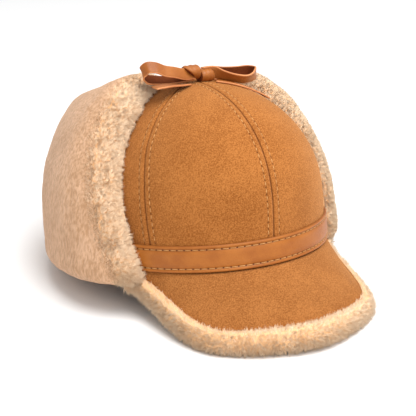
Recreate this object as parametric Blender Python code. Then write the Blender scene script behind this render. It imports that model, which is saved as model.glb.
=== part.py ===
"""Sheepskin earflap cap with its flaps folded up and tied over the crown.

The cap is modelled in its own frame: the front of the head towards -Y, the wearer's left towards +X,
and z = 0 at the lower edge of the band. It is then set down as it rests by itself.
Turn is the angle round the crown, 0 at the front and positive to the wearer's left.
Climb runs up the crown: 0 at its rim, BAND_CLIMB at the top of the band, 1 at the apex.
"""

import math

import bmesh
import bpy
import numpy as np

MM = 0.001
GAP = 0.3 * MM

# Crown: six panels of double-faced sheepskin, suede outside and short wool inside
CROWN_HALF_WIDTH = 86.0 * MM
CROWN_HALF_LENGTH = 100.4 * MM
CROWN_RISE = 99.5 * MM       # apex above the top of the band
CROWN_WALL = 5.0 * MM
CROWN_BULGE = 0.022          # share by which the dome swells over the band, in front and behind
BULGE_SPAN = 0.9             # share of the rise over which that swelling comes and goes
CROWN_FULL_FRONT = 3.05      # exponent of the dome's profile, 2 for an ellipse, in front and behind
CROWN_FULL_SIDE = 1.85       # the same at the sides, which the tied flaps press in
APEX_SHIFT = 3.6 * MM        # apex ahead of the middle of the head
PANEL_COUNT = 6
PANEL_PUFF = 1.0 * MM        # swell of a panel between its seams
PUFF_COMES = 0.2             # climb over which the puff comes, above the band
PUFF_GOES = 0.3              # climb over which it goes, under the apex
TIP_RADIUS = 1.6 * MM        # where each panel's tip is cut at the apex
RIM_DEPTH = 1.5 * MM         # rim of the crown below the band
BAND_CLIMB = 0.16
BACK_TURN = 180.0            # degrees from the front to the back of the head

# Band: a leather strip over the foot of the crown
BAND_HEIGHT = 19.0 * MM
BAND_THICKNESS = 1.5 * MM
BAND_TURN = 76.0             # degrees from the front to each end, under the flaps

# Peak: a suede board
PEAK_ROOT_TURN = 65.0        # degrees from the front to each root end
PEAK_HALF_WIDTH = 81.0 * MM
PEAK_REACH = 42.5 * MM       # ahead of the crown's front
PEAK_DROP = 34.5 * MM
PEAK_THICKNESS = 3.0 * MM
PEAK_CROWNING = 2.0 * MM     # swell of the board between its root and its edge
PEAK_ROOT_SHARE = 0.17       # share of the board over which its edge turns from the crown
PEAK_LINES = (PEAK_ROOT_SHARE, 0.33, 0.5, 0.67, 0.83)

# Wool round the peak's edge and under it
TRIM_OVERLAP = 6.0 * MM      # onto the top of the board
TRIM_STAND = 12.0 * MM       # beyond the edge of the board
TRIM_RISE = 10.0 * MM        # above the board
TRIM_END_SHARE = 0.35        # share of that rise at the root ends
TRIM_END_RUN = 0.16          # share of the edge over which it comes up
TRIM_FOOT_SHARE = 0.3        # share of the rise of the wool's inner foot on the board
TRIM_SHOULDER = (0.55, 0.8)  # shares of the overlap and of the rise at its inner shoulder
TRIM_DEPTH = 9.0 * MM        # below the board's underside at the edge
UNDER_WOOL = 6.0 * MM        # pile under the board
UNDER_INSETS = (0.25, 0.55, 0.96)
UNDER_BACK_INSETS = (0.96, 1 - PEAK_ROOT_SHARE, 0.5, 0.17)

# Earflap: one wool wrap round the sides and back
FLAP_CLEARANCE = 2.4 * MM    # from the crown, over the band
FLAP_STAND = 25.0 * MM       # wool's outer face from the crown, at the band
FLAP_SKIN = 1.2 * MM         # least thickness, at the cut edges
FLAP_FRONT_ROLL = 22.0       # degrees over which the front edge rounds off
FLAP_TOP_ROLL = 0.26         # share of the flap's height over which its top rounds off
FLAP_BACK_CLIMB = 0.56       # top of the flap at the back of the head
FLAP_TIP_CLIMB = 0.87        # top of the flap at its tips
FLAP_TOP_RUN = 1.7           # the top has risen to its tips at 1 / this share of the way to the front
FLAP_TOP_CURVE = 1.5
FLAP_LINING_FOOT = 2.0 * MM  # where its lining side turns in, above the band's lower edge
FLAP_CROWDING = 1.6          # how much closer the sections stand towards the front edges
FLAP_ROWS_CROWDING = 0.8     # the same of the rows towards the top
HEM_HOOK = 2.5 * MM          # turned in under the crown's rim
HEM_BACK_DROP = 4.0 * MM     # hem below the rim at the back
HEM_SIDE_DROP = 7.0 * MM     # hem below the rim at the sides
HEM_ROUND = 13.0 * MM        # height of the hem's rounding
HEM_RIM_SHARE = 0.6          # share of the clearance left at the crown's rim
HEM_UNDER_SHARE = 0.25       # share of the pile at the hem's underside
HEM_EDGE_SHARE = 0.45        # share of the pile where the rounding starts

# Laces and bow, of the band's leather
LACE_WIDTH = 9.0 * MM
LACE_THICKNESS = 1.3 * MM
LACE_SECTION = (             # corners, as shares of half its width and of half its thickness
    (-1.0, -0.45), (-0.9, -1.0), (0.9, -1.0), (1.0, -0.45),
    (1.0, 0.45), (0.9, 1.0), (-0.9, 1.0), (-1.0, 0.45),
)
KNOT_WIDTH = 22.0 * MM
KNOT_DEPTH = 12.0 * MM
KNOT_HEIGHT = 12.0 * MM
KNOT_FORWARD = 8.5 * MM      # knot ahead of the apex
KNOT_SIDES = 12

SETTLE = 1.5 * MM            # wool pressed flat under the cap's weight
MOST_PITCH = 30.0            # degrees, limit of the search for the resting pitch

SUEDE, BAND_LEATHER = (0.61, 0.23, 0.06), (0.54, 0.19, 0.05)
WOOL, LACE_LEATHER = (0.76, 0.48, 0.29), (0.50, 0.17, 0.05)

# Edge of the peak from one root end to the middle of the front.
# across: share of PEAK_HALF_WIDTH; forward: share of the way from the root ends to the front;
# drop: share of PEAK_DROP
PEAK_OUTLINE = (
    # across, forward, drop
    (1.000, 0.009, 0.080),
    (0.953, 0.074, 0.215),
    (0.923, 0.144, 0.354),
    (0.893, 0.323, 0.570),
    (0.856, 0.522, 0.785),
    (0.815, 0.640, 0.900),
    (0.735, 0.750, 0.985),
    (0.568, 0.845, 1.040),
    (0.296, 0.948, 1.070),
    (0.000, 1.000, 1.080),
)

# Front edge of each flap and the height of its pile.
# climb; angle: degrees from the front to the edge; right, left: pile as shares of FLAP_STAND
FLAP_PROFILE = (
    # climb, angle, right, left
    (-0.03, 69.0, 1.25, 0.66),
    (0.06, 66.5, 1.17, 0.68),
    (0.16, 65.5, 1.14, 0.73),
    (0.35, 71.0, 1.20, 0.86),
    (0.55, 77.0, 1.20, 1.00),
    (0.68, 80.0, 1.08, 0.84),
    (0.80, 93.0, 0.88, 0.56),
    (1.00, 118.0, 0.70, 0.36),
)

# Sections of the knot from the wearer's right to the left, over its two wraps.
# along: share of half its width; deep, tall: shares of KNOT_DEPTH and KNOT_HEIGHT; lift: share of
# KNOT_HEIGHT by which the section's middle is raised
KNOT_SECTIONS = (
    # along, deep, tall, lift
    (-1.00, 0.50, 0.50, 0.08),
    (-0.80, 0.86, 0.86, 0.06),
    (-0.40, 1.00, 1.00, 0.00),
    (-0.05, 0.82, 0.76, -0.08),
    (0.30, 0.95, 0.70, -0.14),
    (0.70, 0.88, 0.64, -0.17),
    (1.00, 0.45, 0.40, -0.16),
)

# Routes of the bow's loops from the knot's middle, in millimetres, with the lean of the lace's upper
# edge from upright, in degrees to the left of its way.
LOOP_RIGHT_ROUTE = (
    # x, y, z, lean
    (-12.8, -3.0, 1.0, -25.0),
    (-20.0, -4.0, 3.2, -30.0),
    (-28.0, -4.2, 5.3, -32.0),
    (-35.5, -3.6, 8.6, -34.0),
    (-40.8, -1.8, 9.0, -26.0),
    (-42.8, 1.2, 6.0, 0.0),
    (-40.0, 4.0, 1.2, 34.0),
    (-31.0, 4.4, -1.4, 50.0),
    (-21.0, 3.4, -2.4, 55.0),
    (-12.2, 2.4, -1.8, 45.0),
)
LOOP_LEFT_ROUTE = (
    (12.6, -2.6, -0.9, -10.0),
    (18.0, -6.6, -3.6, -34.0),
    (26.0, -9.6, -6.4, -50.0),
    (34.0, -9.2, -8.2, -48.0),
    (42.0, -6.0, -7.6, -30.0),
    (48.2, -0.6, -5.6, 0.0),
    (46.0, 4.6, -4.8, 8.0),
    (36.0, 5.8, -4.2, 16.0),
    (23.0, 5.0, -2.9, 16.0),
    (12.6, 3.2, -1.0, 10.0),
)

# Routes of the laces that lie on the crown, in millimetres from the knot's middle seen from above,
# with their height over the crown.
TAIL_RIGHT_ROUTE = (
    # x, y, height
    (-11.5, -4.0, 0.9),
    (-17.0, -6.5, 2.8),
    (-25.0, -8.0, 6.8),
    (-34.0, -7.5, 11.6),
)
TAIL_LEFT_ROUTE = (
    (11.5, -6.8, 0.9),
    (17.0, -10.8, 0.9),
    (25.0, -14.4, 0.9),
    (35.0, -16.4, 0.9),
    (45.5, -16.0, 1.4),
)
TIE_RIGHT_ROUTE = (
    (-11.5, 6.0, 0.9),
    (-14.5, 8.0, 0.9),
    (-17.0, 10.5, 0.9),
)
TIE_LEFT_ROUTE = (
    (11.5, 6.0, 0.9),
    (14.5, 8.0, 0.9),
    (17.0, 10.5, 0.9),
)


def smooth(table, count):
    """A smooth curve through the table's rows, read at this many evenly spaced places."""
    rows = np.array(table, float)
    steps = np.linalg.norm(np.diff(rows, axis=0)[:, :3], axis=1)
    at = np.concatenate([[0.0], np.cumsum(steps)])
    slopes = np.gradient(rows, at, axis=0)
    wanted = np.linspace(0.0, at[-1], count)
    left = np.clip(np.searchsorted(at, wanted, side="right") - 1, 0, len(at) - 2)
    span = (at[left + 1] - at[left])[:, None]
    share = (wanted[:, None] - at[left][:, None]) / span
    start, end = rows[left], rows[left + 1]
    leaving, arriving = slopes[left] * span, slopes[left + 1] * span
    return (
        start * (1 + 2 * share) * (1 - share) ** 2
        + leaving * share * (1 - share) ** 2
        + end * share**2 * (3 - 2 * share)
        + arriving * share**2 * (share - 1)
    )


def unit(vectors):
    return vectors / np.linalg.norm(vectors, axis=-1, keepdims=True)


def dome(turn, arc):
    """The dome's profile, for arcs from 0 to a right angle: shares of its rise and of its half width."""
    full = CROWN_FULL_FRONT + (CROWN_FULL_SIDE - CROWN_FULL_FRONT) * np.sin(turn) ** 2
    lift = np.sin(arc) ** (2 / full)
    bulge = CROWN_BULGE * np.cos(turn) ** 2 * np.sin(np.pi * np.clip(lift / BULGE_SPAN, 0, 1))
    return lift, np.cos(arc) * (1 + bulge)


def crown_skin(turn, climb):
    """Points of the crown's outer face without its puff, for turns in degrees."""
    turn, climb = np.broadcast_arrays(np.radians(turn), np.asarray(climb, float))
    arc = np.clip((climb - BAND_CLIMB) / (1 - BAND_CLIMB), 0, 1) * math.pi / 2
    lift, share = dome(turn, arc)
    foot = -RIM_DEPTH + (BAND_HEIGHT + RIM_DEPTH) * climb / BAND_CLIMB
    z = np.where(climb <= BAND_CLIMB, foot, BAND_HEIGHT + CROWN_RISE * lift)
    x = CROWN_HALF_WIDTH * share * np.sin(turn)
    y = -APEX_SHIFT * lift - CROWN_HALF_LENGTH * share * np.cos(turn)
    return np.stack([x, y, z], axis=-1)


def crown_outward(turn, climb):
    """Unit normals of that face."""
    step = 1e-3
    high = np.minimum(np.asarray(climb, float) + step, 0.9999)
    around = crown_skin(turn + math.degrees(step), climb) - crown_skin(turn - math.degrees(step), climb)
    upward = crown_skin(turn, high) - crown_skin(turn, high - 2 * step)
    return unit(np.cross(around, upward))


def off_crown(turn, climb, stand):
    """Points that stand this far off the crown's face."""
    return crown_skin(turn, climb) + np.asarray(stand)[..., None] * crown_outward(turn, climb)


def climb_at(z):
    """The climb of a height below the top of the band."""
    return BAND_CLIMB * (z + RIM_DEPTH) / (BAND_HEIGHT + RIM_DEPTH)


def object_from(name, points, faces, material):
    mesh = bpy.data.meshes.new(name)
    mesh.from_pydata([tuple(point) for point in points], [], faces)
    shape = bmesh.new()
    shape.from_mesh(mesh)
    bmesh.ops.recalc_face_normals(shape, faces=shape.faces)
    shape.to_mesh(mesh)
    shape.free()
    mesh.shade_smooth()
    mesh.set_sharp_from_angle(angle=math.radians(40))
    mesh.materials.append(material)
    piece = bpy.data.objects.new(name, mesh)
    bpy.context.scene.collection.objects.link(piece)
    return piece


def walled(name, outer, inner, material):
    """A sheet with thickness, from the grids of its outer and inner faces."""
    rows, columns = outer.shape[:2]
    count = rows * columns
    points = np.concatenate([outer.reshape(-1, 3), inner.reshape(-1, 3)])
    faces = []
    for row in range(rows - 1):
        for column in range(columns - 1):
            a = row * columns + column
            b, c, d = a + 1, a + columns + 1, a + columns
            faces.append((a, b, c, d))
            faces.append((a + count, d + count, c + count, b + count))
    border = [column for column in range(columns)]
    border += [row * columns + columns - 1 for row in range(1, rows)]
    border += [(rows - 1) * columns + column for column in range(columns - 2, -1, -1)]
    border += [row * columns for row in range(rows - 2, 0, -1)]
    for here, there in zip(border, border[1:] + border[:1]):
        faces.append((there, here, here + count, there + count))
    return object_from(name, points, faces, material)


def lofted(name, rings, material):
    """A closed body through closed rings of points, capped at both ends."""
    count, size = rings.shape[:2]
    points = rings.reshape(-1, 3)
    faces = []
    for ring in range(count - 1):
        for k in range(size):
            a, b = ring * size + k, ring * size + (k + 1) % size
            faces.append((a, b, b + size, a + size))
    faces.append(tuple(range(size - 1, -1, -1)))
    faces.append(tuple((count - 1) * size + k for k in range(size)))
    return object_from(name, points, faces, material)


def material_named(name, colour, roughness):
    material = bpy.data.materials.new(name)
    material.use_nodes = True
    shader = material.node_tree.nodes["Principled BSDF"]
    shader.inputs["Base Color"].default_value = (*colour, 1.0)
    shader.inputs["Roughness"].default_value = roughness
    shader.inputs["Metallic"].default_value = 0.0
    return material


def panel_swell(climb):
    """How far a panel's middle stands off the crown's even face."""
    comes = np.clip((np.asarray(climb, float) - BAND_CLIMB) / PUFF_COMES, 0, 1)
    return PANEL_PUFF * comes * np.clip((1 - climb) / PUFF_GOES, 0, 1)


def crown_panel(name, middle, material):
    """One panel of the crown, between two seams, with its tip cut short of the apex."""
    half = BACK_TURN / PANEL_COUNT
    tip = 1.0 - TIP_RADIUS / CROWN_HALF_LENGTH * (1 - BAND_CLIMB) / (math.pi / 2)
    foot = np.linspace(0.0, BAND_CLIMB, 4)[:-1]
    above = BAND_CLIMB + (tip - BAND_CLIMB) * np.linspace(0.0, 1.0, 12)
    climb = np.concatenate([foot, above])[:, None]
    across = np.linspace(-1.0, 1.0, 9)[None, :]
    radius = np.linalg.norm(crown_skin(middle, climb)[..., :2] + (0.0, APEX_SHIFT), axis=-1)
    margin = np.degrees(GAP / 2 / np.maximum(radius, TIP_RADIUS / 2))
    turn = middle + across * (half - margin)
    swell = panel_swell(climb) * (1 - across**4)
    climb = np.broadcast_to(climb, turn.shape)
    outer = off_crown(turn, climb, swell)
    inner = off_crown(turn, climb, swell - CROWN_WALL)
    return walled(name, outer, inner, material)


def band(material):
    turn = np.linspace(-BAND_TURN, BAND_TURN, 41)[None, :]
    climb = climb_at(np.array([0.0, 0.5, 1.0]) * BAND_HEIGHT)[:, None]
    turn, climb = np.broadcast_arrays(turn, climb)
    inner = off_crown(turn, climb, np.full(turn.shape, GAP))
    outer = off_crown(turn, climb, np.full(turn.shape, GAP + BAND_THICKNESS))
    inner[0, :, 2] = outer[0, :, 2] = 0.0
    inner[-1, :, 2] = outer[-1, :, 2] = BAND_HEIGHT
    return walled("band", outer, inner, material)


def peak_root(side):
    """Points of the peak's root, against the crown just under the band, for sides from -1 to 1."""
    turn = side * PEAK_ROOT_TURN
    climb = np.full(turn.shape, climb_at(-GAP))
    points = off_crown(turn, climb, np.full(turn.shape, GAP))
    points[..., 2] = -GAP
    return points


def peak_edge(side):
    """Points of the peak's edge, for sides from -1 at one root end to 1 at the other."""
    root_y = peak_root(np.array([1.0]))[0, 1]
    front_y = -CROWN_HALF_LENGTH - PEAK_REACH
    half = np.array(PEAK_OUTLINE)
    whole = smooth(np.concatenate([half * (-1, 1, 1), half[-2::-1]]), 201)
    place = (np.asarray(side) + 1) / 2 * (len(whole) - 1)
    across, forward, drop = (
        np.interp(place, np.arange(len(whole)), whole[:, column]) for column in range(3)
    )
    y = root_y + (front_y - root_y) * forward
    return np.stack([PEAK_HALF_WIDTH * across, y, -PEAK_DROP * drop], axis=-1)


def peak_skin(side, reach):
    """Points of the peak's upper face, for reaches from 0 at the root to 1 at the edge."""
    side, reach = np.broadcast_arrays(side, reach)
    root, edge = peak_root(side), peak_edge(side)
    points = root + (edge - root) * reach[..., None]
    points[..., 2] += 4 * PEAK_CROWNING * reach * (1 - reach) * (1 - side**2)
    return points


def peak_upward(side, reach):
    step = 1e-3
    side, reach = np.broadcast_arrays(np.asarray(side, float), np.asarray(reach, float))
    inside = np.clip(side, -1 + step, 1 - step)
    near = np.clip(reach, 0.05, 1)
    along = peak_skin(inside + step, near) - peak_skin(inside - step, near)
    outward = peak_skin(inside, near) - peak_skin(inside, near - step)
    return unit(np.cross(outward, along))


def peak_downward(side, reach):
    """Straight down at the root, where the board lies against the crown, and off its face beyond."""
    share = np.clip(np.asarray(reach, float) / PEAK_ROOT_SHARE, 0, 1)[..., None]
    return unit(-share * peak_upward(side, reach) - (1 - share) * np.array((0.0, 0.0, 1.0)))


def peak(material):
    side = np.linspace(-1.0, 1.0, 49)[None, :]
    reach = np.array([0.0, *PEAK_LINES, 1.0])[:, None]
    upper = peak_skin(side, reach)
    lower = upper + PEAK_THICKNESS * peak_downward(side, reach)
    return walled("peak", upper[:, ::-1], lower[:, ::-1], material)


def peak_wool(material):
    """The roll round the board's edge, one with the pile under it."""
    rings = [trim_ring(side) for side in np.linspace(-1.0, 1.0, 49)]
    return lofted("peak_wool", np.array(rings), material)


def trim_ring(side):
    """The section of the peak's wool at one place along the edge."""
    root, edge = peak_root(np.array(side)), peak_edge(np.array(side))
    length = np.linalg.norm(edge - root)
    overlap = min(TRIM_OVERLAP, 0.5 * length)
    rise = TRIM_RISE * min(1.0, TRIM_END_SHARE + (1 - abs(side)) / TRIM_END_RUN)
    upward = peak_upward(side, 1.0)
    step = 1e-3
    low, high = max(side - step, -1.0), min(side + step, 1.0)
    along = unit(peak_edge(np.array(high)) - peak_edge(np.array(low)))
    outward = unit(np.cross(along, upward))

    def on_board(inset, height):
        reach = np.clip(1.0 - inset / length, 0.05, 1.0)
        if height > 0:
            return peak_skin(side, reach) + height * peak_upward(side, reach)
        return peak_skin(side, reach) - height * peak_downward(side, reach)

    below = -PEAK_THICKNESS - GAP
    ring = [on_board(overlap, GAP), on_board(overlap, GAP + TRIM_FOOT_SHARE * rise)]
    ring.append(on_board(TRIM_SHOULDER[0] * overlap, TRIM_SHOULDER[1] * rise))
    centre = edge + upward * (below - TRIM_DEPTH + rise) / 2
    half_height = (rise + TRIM_DEPTH - below) / 2
    for angle in np.radians(np.linspace(90, -90, 10)):
        swing = outward * TRIM_STAND * math.cos(angle) + upward * half_height * math.sin(angle)
        ring.append(centre + swing)
    for inset in UNDER_INSETS:
        depth = below - UNDER_WOOL - (TRIM_DEPTH - UNDER_WOOL) * (1 - inset) ** 2
        ring.append(on_board(inset * length, depth))
    for inset in UNDER_BACK_INSETS:
        ring.append(on_board(inset * length, below))
    ring.append(edge + upward * below + outward * GAP)
    ring.append(edge + upward * GAP + outward * GAP)
    return np.array(ring)


def flap_front(climb):
    """Degrees from the front to a flap's front edge, at this climb."""
    table = np.array(FLAP_PROFILE)
    return np.interp(climb, table[:, 0], table[:, 1])


def flap_pile(turn, climb):
    """How far the wool stands off the crown, before its edges round off."""
    table = np.array(FLAP_PROFILE)
    right = np.interp(climb, table[:, 0], table[:, 2])
    left = np.interp(climb, table[:, 0], table[:, 3])
    lefts = 0.5 + 0.5 * np.sin(np.radians(np.clip(turn, -270, 270)))
    return FLAP_STAND * (right + (left - right) * lefts)


def flap_ring(station):
    """The flap's section at a station from -1, the right front edge, through 0, the back, to 1."""
    side = 1.0 if station >= 0 else -1.0
    inward = (1 - abs(station)) ** FLAP_CROWDING
    rise = min(1.0, FLAP_TOP_RUN * abs(station)) ** FLAP_TOP_CURVE
    top = FLAP_BACK_CLIMB + (FLAP_TIP_CLIMB - FLAP_BACK_CLIMB) * rise

    def from_front(climb):
        return (BACK_TURN - flap_front(climb)) * inward

    def turn_at(climb):
        return side * (flap_front(climb) + from_front(climb))

    def front_round(climb):
        inside = np.clip(from_front(climb) / FLAP_FRONT_ROLL, 0, 1)
        return np.sqrt(1 - (1 - inside) ** 2)

    def point(climb, stand):
        return off_crown(turn_at(climb), climb, stand)

    back = abs(math.sin(math.radians(turn_at(0.0))))
    drop = HEM_BACK_DROP + (HEM_SIDE_DROP - HEM_BACK_DROP) * back**2
    rim = climb_at(-RIM_DEPTH - GAP)
    hem = climb_at(-RIM_DEPTH - drop)
    round_top = climb_at(-RIM_DEPTH - drop + HEM_ROUND)
    ring = []
    for height in np.linspace(top, climb_at(FLAP_LINING_FOOT), 9):
        ring.append(point(height, FLAP_CLEARANCE))
    ring.append(point(rim, FLAP_CLEARANCE * HEM_RIM_SHARE))
    ring.append(point(rim, -HEM_HOOK))
    ring.append(point(hem, -HEM_HOOK))
    full = flap_pile(turn_at(round_top), round_top)
    least = FLAP_CLEARANCE + FLAP_SKIN
    wide = least + (full - least) * front_round(round_top)
    ring.append(point(hem, wide * HEM_UNDER_SHARE))
    for angle in np.radians(np.linspace(90, 15, 5)):
        stand = wide * (HEM_EDGE_SHARE + (1 - HEM_EDGE_SHARE) * math.cos(angle))
        climb = round_top - (round_top - hem) * math.sin(angle)
        ring.append(point(climb, stand))
    for share in np.linspace(0.0, 1.0, 11) ** FLAP_ROWS_CROWDING:
        climb = round_top + (top - round_top) * share
        over = np.clip((share - 1 + FLAP_TOP_ROLL) / FLAP_TOP_ROLL, 0, 1)
        rounding = math.sqrt(max(0.0, 1 - over**2)) * front_round(climb)
        pile = flap_pile(turn_at(climb), climb)
        ring.append(point(climb, least + (pile - least) * rounding))
    return np.array(ring)


def earflap(material):
    stations = np.linspace(-1.0, 1.0, 49)
    rings = np.array([flap_ring(station) for station in stations])
    return lofted("earflap", rings[::-1], material)


def knot_centre():
    apex = BAND_HEIGHT + CROWN_RISE
    return np.array([0.0, -APEX_SHIFT - KNOT_FORWARD, apex + KNOT_HEIGHT / 2 + GAP])


def bow_knot(material):
    """The two wraps that hold the bow, as one body."""
    angles = np.arange(KNOT_SIDES) * 2 * math.pi / KNOT_SIDES
    rings = []
    for along, deep, tall, lift in smooth(KNOT_SECTIONS, 13):
        x = np.full(KNOT_SIDES, KNOT_WIDTH / 2 * along)
        y = KNOT_DEPTH / 2 * deep * np.cos(angles)
        z = KNOT_HEIGHT / 2 * tall * np.sin(angles) + KNOT_HEIGHT * lift
        rings.append(np.stack([x, y, z], axis=-1))
    return lofted("bow_knot", knot_centre() + np.array(rings), material)


def flat_lace(name, middle, wide, material):
    """A flat lace along its middle line, with the direction of its width at each point."""
    along = unit(np.gradient(middle, axis=0))
    wide = unit(wide - (wide * along).sum(axis=1, keepdims=True) * along)
    thick = np.cross(wide, along)
    half, thin = LACE_WIDTH / 2, LACE_THICKNESS / 2
    rings = [middle + wide * half * a + thick * thin * b for a, b in LACE_SECTION]
    return lofted(name, np.stack(rings, axis=1), material)


def bow_loop(name, route, material):
    rows = smooth(route, 25)
    middle = knot_centre() + rows[:, :3] * MM
    along = unit(np.gradient(middle, axis=0))
    upright = unit((0.0, 0.0, 1.0) - along[:, 2:] * along)
    lean = np.radians(rows[:, 3:4])
    wide = upright * np.cos(lean) + np.cross(upright, along) * np.sin(lean)
    return flat_lace(name, middle, wide, material)


def crown_under(x, y):
    """The turn and climb of the crown's point under a place near its top."""
    across = x / CROWN_HALF_WIDTH
    lift, swell = 1.0, 1.0
    for _ in range(12):
        forward = -(y + APEX_SHIFT * lift) / CROWN_HALF_LENGTH
        turn = np.arctan2(across, forward)
        arc = np.arccos(np.clip(np.hypot(across, forward) / swell, 0, 1))
        lift, share = dome(turn, arc)
        swell = share / np.cos(arc)
    return np.degrees(turn), BAND_CLIMB + (1 - BAND_CLIMB) * arc / (math.pi / 2)


def lying_lace(name, route, material):
    """A lace that lies on the crown."""
    rows = smooth(route, 11) * MM
    turn, climb = crown_under(*(knot_centre() + rows)[:, :2].T)
    middle = off_crown(turn, climb, rows[:, 2] + panel_swell(climb))
    along = unit(np.gradient(middle, axis=0))
    return flat_lace(name, middle, np.cross(crown_outward(turn, climb), along), material)


def tilted(points, pitch):
    """Points of the cap's own frame with its front raised by the pitch."""
    c, s = math.cos(pitch), math.sin(pitch)
    x, y, z = points.T
    return np.stack([x, y * c + z * s, z * c - y * s], axis=-1)


def resting_pitch(points):
    """The pitch at which the peak's wool and the back of the hem both touch the floor."""
    front, back = points[points[:, 1] < 0], points[points[:, 1] > 0]
    low, high = 0.0, math.radians(MOST_PITCH)
    for _ in range(40):
        pitch = (low + high) / 2
        if tilted(front, pitch)[:, 2].min() < tilted(back, pitch)[:, 2].min():
            low = pitch
        else:
            high = pitch
    return pitch


def set_down(pieces):
    """Carries the pieces on an empty that stands the cap on the floor, wool pressed flat under it."""
    points = np.concatenate([[tuple(vertex.co) for vertex in piece.data.vertices] for piece in pieces])
    pitch = resting_pitch(points)
    world = tilted(points, pitch)
    low, high = world.min(axis=0), world.max(axis=0)
    place = np.array([-(low[0] + high[0]) / 2, -(low[1] + high[1]) / 2, -low[2] - SETTLE])
    for piece in pieces:
        for vertex in piece.data.vertices:
            local = np.array([tuple(vertex.co)])
            at = tilted(local, pitch)[0] + place
            if at[2] < 0:
                at[2] = 0.0
                vertex.co = tilted((at - place)[None, :], -pitch)[0]
    cap = bpy.data.objects.new("cap", None)
    bpy.context.scene.collection.objects.link(cap)
    cap.rotation_euler = (-pitch, 0.0, 0.0)
    cap.location = place
    for piece in pieces:
        piece.parent = cap


def main():
    for old in list(bpy.data.objects):
        bpy.data.objects.remove(old, do_unlink=True)
    suede = material_named("suede", SUEDE, 0.9)
    smooth_leather = material_named("band_leather", BAND_LEATHER, 0.45)
    wool = material_named("wool", WOOL, 0.95)
    lace_leather = material_named("lace_leather", LACE_LEATHER, 0.4)
    pieces = []
    step = 360.0 / PANEL_COUNT
    names = ("front_left", "side_left", "back_left", "back_right", "side_right", "front_right")
    for number, name in enumerate(names):
        pieces.append(crown_panel("crown_panel_" + name, step * (number + 0.5), suede))
    pieces.append(band(smooth_leather))
    pieces.append(peak(suede))
    pieces.append(peak_wool(wool))
    pieces.append(earflap(wool))
    pieces.append(bow_knot(lace_leather))
    for name, route in (("bow_loop_right", LOOP_RIGHT_ROUTE), ("bow_loop_left", LOOP_LEFT_ROUTE)):
        pieces.append(bow_loop(name, route, lace_leather))
    for name, route in (
        ("bow_tail_right", TAIL_RIGHT_ROUTE),
        ("bow_tail_left", TAIL_LEFT_ROUTE),
        ("tie_right", TIE_RIGHT_ROUTE),
        ("tie_left", TIE_LEFT_ROUTE),
    ):
        pieces.append(lying_lace(name, route, lace_leather))
    set_down(pieces)


main()
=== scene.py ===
"""Looks of the sheepskin earflap cap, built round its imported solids.

Surfaces are worked out in the cap's own frame, as its solids are: the front of the head towards -Y,
the wearer's left towards +X and z = 0 at the lower edge of the band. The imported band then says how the
cap stands. Turn is the angle round the crown, 0 at the front and positive to the wearer's left. Climb
runs up the crown: 0 at its rim, BAND_CLIMB at the top of the band, 1 at the apex.
"""

import math

import bpy
import numpy as np
from mathutils import Matrix, Vector, kdtree, noise


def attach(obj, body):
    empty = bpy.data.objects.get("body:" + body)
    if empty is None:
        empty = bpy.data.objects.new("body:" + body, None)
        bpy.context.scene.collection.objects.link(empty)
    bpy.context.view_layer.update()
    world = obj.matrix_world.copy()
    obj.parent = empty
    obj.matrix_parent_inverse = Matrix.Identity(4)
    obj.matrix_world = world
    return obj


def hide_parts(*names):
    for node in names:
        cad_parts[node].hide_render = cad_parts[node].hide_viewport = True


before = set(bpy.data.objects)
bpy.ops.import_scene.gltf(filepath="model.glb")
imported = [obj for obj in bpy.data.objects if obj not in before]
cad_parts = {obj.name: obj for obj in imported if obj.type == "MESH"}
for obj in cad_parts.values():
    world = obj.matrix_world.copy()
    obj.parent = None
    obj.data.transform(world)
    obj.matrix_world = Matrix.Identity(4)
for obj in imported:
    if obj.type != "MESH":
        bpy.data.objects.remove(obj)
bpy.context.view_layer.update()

MM = 0.001
GAP = 0.3 * MM

# Crown
CROWN_HALF_WIDTH = 86.0 * MM
CROWN_HALF_LENGTH = 100.4 * MM
CROWN_RISE = 99.5 * MM       # apex above the top of the band
CROWN_WALL = 5.0 * MM
CROWN_BULGE = 0.022          # share by which the dome swells in front and behind
BULGE_SPAN = 0.9             # share of the rise over which that swelling comes and goes
CROWN_FULL_FRONT = 3.05      # exponent of the dome's profile, 2 for an ellipse
CROWN_FULL_SIDE = 1.85       # the same at the sides
APEX_SHIFT = 3.6 * MM        # apex ahead of the middle of the head
BACK_TURN = 180.0            # degrees from the front to the back of the head
PANEL_COUNT = 6
PANEL_HALF = BACK_TURN / PANEL_COUNT
PANEL_ROWS = 130
PANEL_MIDDLE_LINES = 14      # mesh lines between those beside its two seams
PANEL_PUFF = 1.0 * MM        # swell of a panel between its seams
PUFF_COMES = 0.2             # climb over which the puff comes, above the band
PUFF_GOES = 0.3              # climb over which it goes, under the apex
TIP_RADIUS = 1.6 * MM        # where each panel's tip is cut at the apex
RIM_DEPTH = 1.5 * MM         # rim of the crown below the band
BAND_CLIMB = 0.16
NEAR_APEX = 0.9999           # highest climb at which directions are taken
MOST_PITCH = 30.0            # degrees, limit of the search for the cap's pitch

# Seams of the crown
SEAM_DEPTH = 0.7 * MM
SEAM_HALF_WIDTH = 0.35 * MM
SEAM_LINES_SHARE = 0.8       # most of a half panel that the mesh lines beside its seam take up
ALLOWANCE_RISE = 0.3 * MM    # seam allowance felt under the suede beside the seam
ALLOWANCE_WIDTH = 3.0 * MM
ALLOWANCE_EDGE = 2.0 * MM    # width over which it comes and goes
STITCH_OFFSET = 4.3 * MM     # rows of topstitching from the seam
STITCH_PITCH = 4.85 * MM
STITCH_LENGTH = 3.3 * MM
STITCH_WIDTH = 0.5 * MM
STITCH_DENT = 0.3 * MM
STITCH_DENT_WIDTH = 0.6 * MM
STITCH_ROOM = 0.75           # share of a half panel at which a row stops, near the apex

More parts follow.
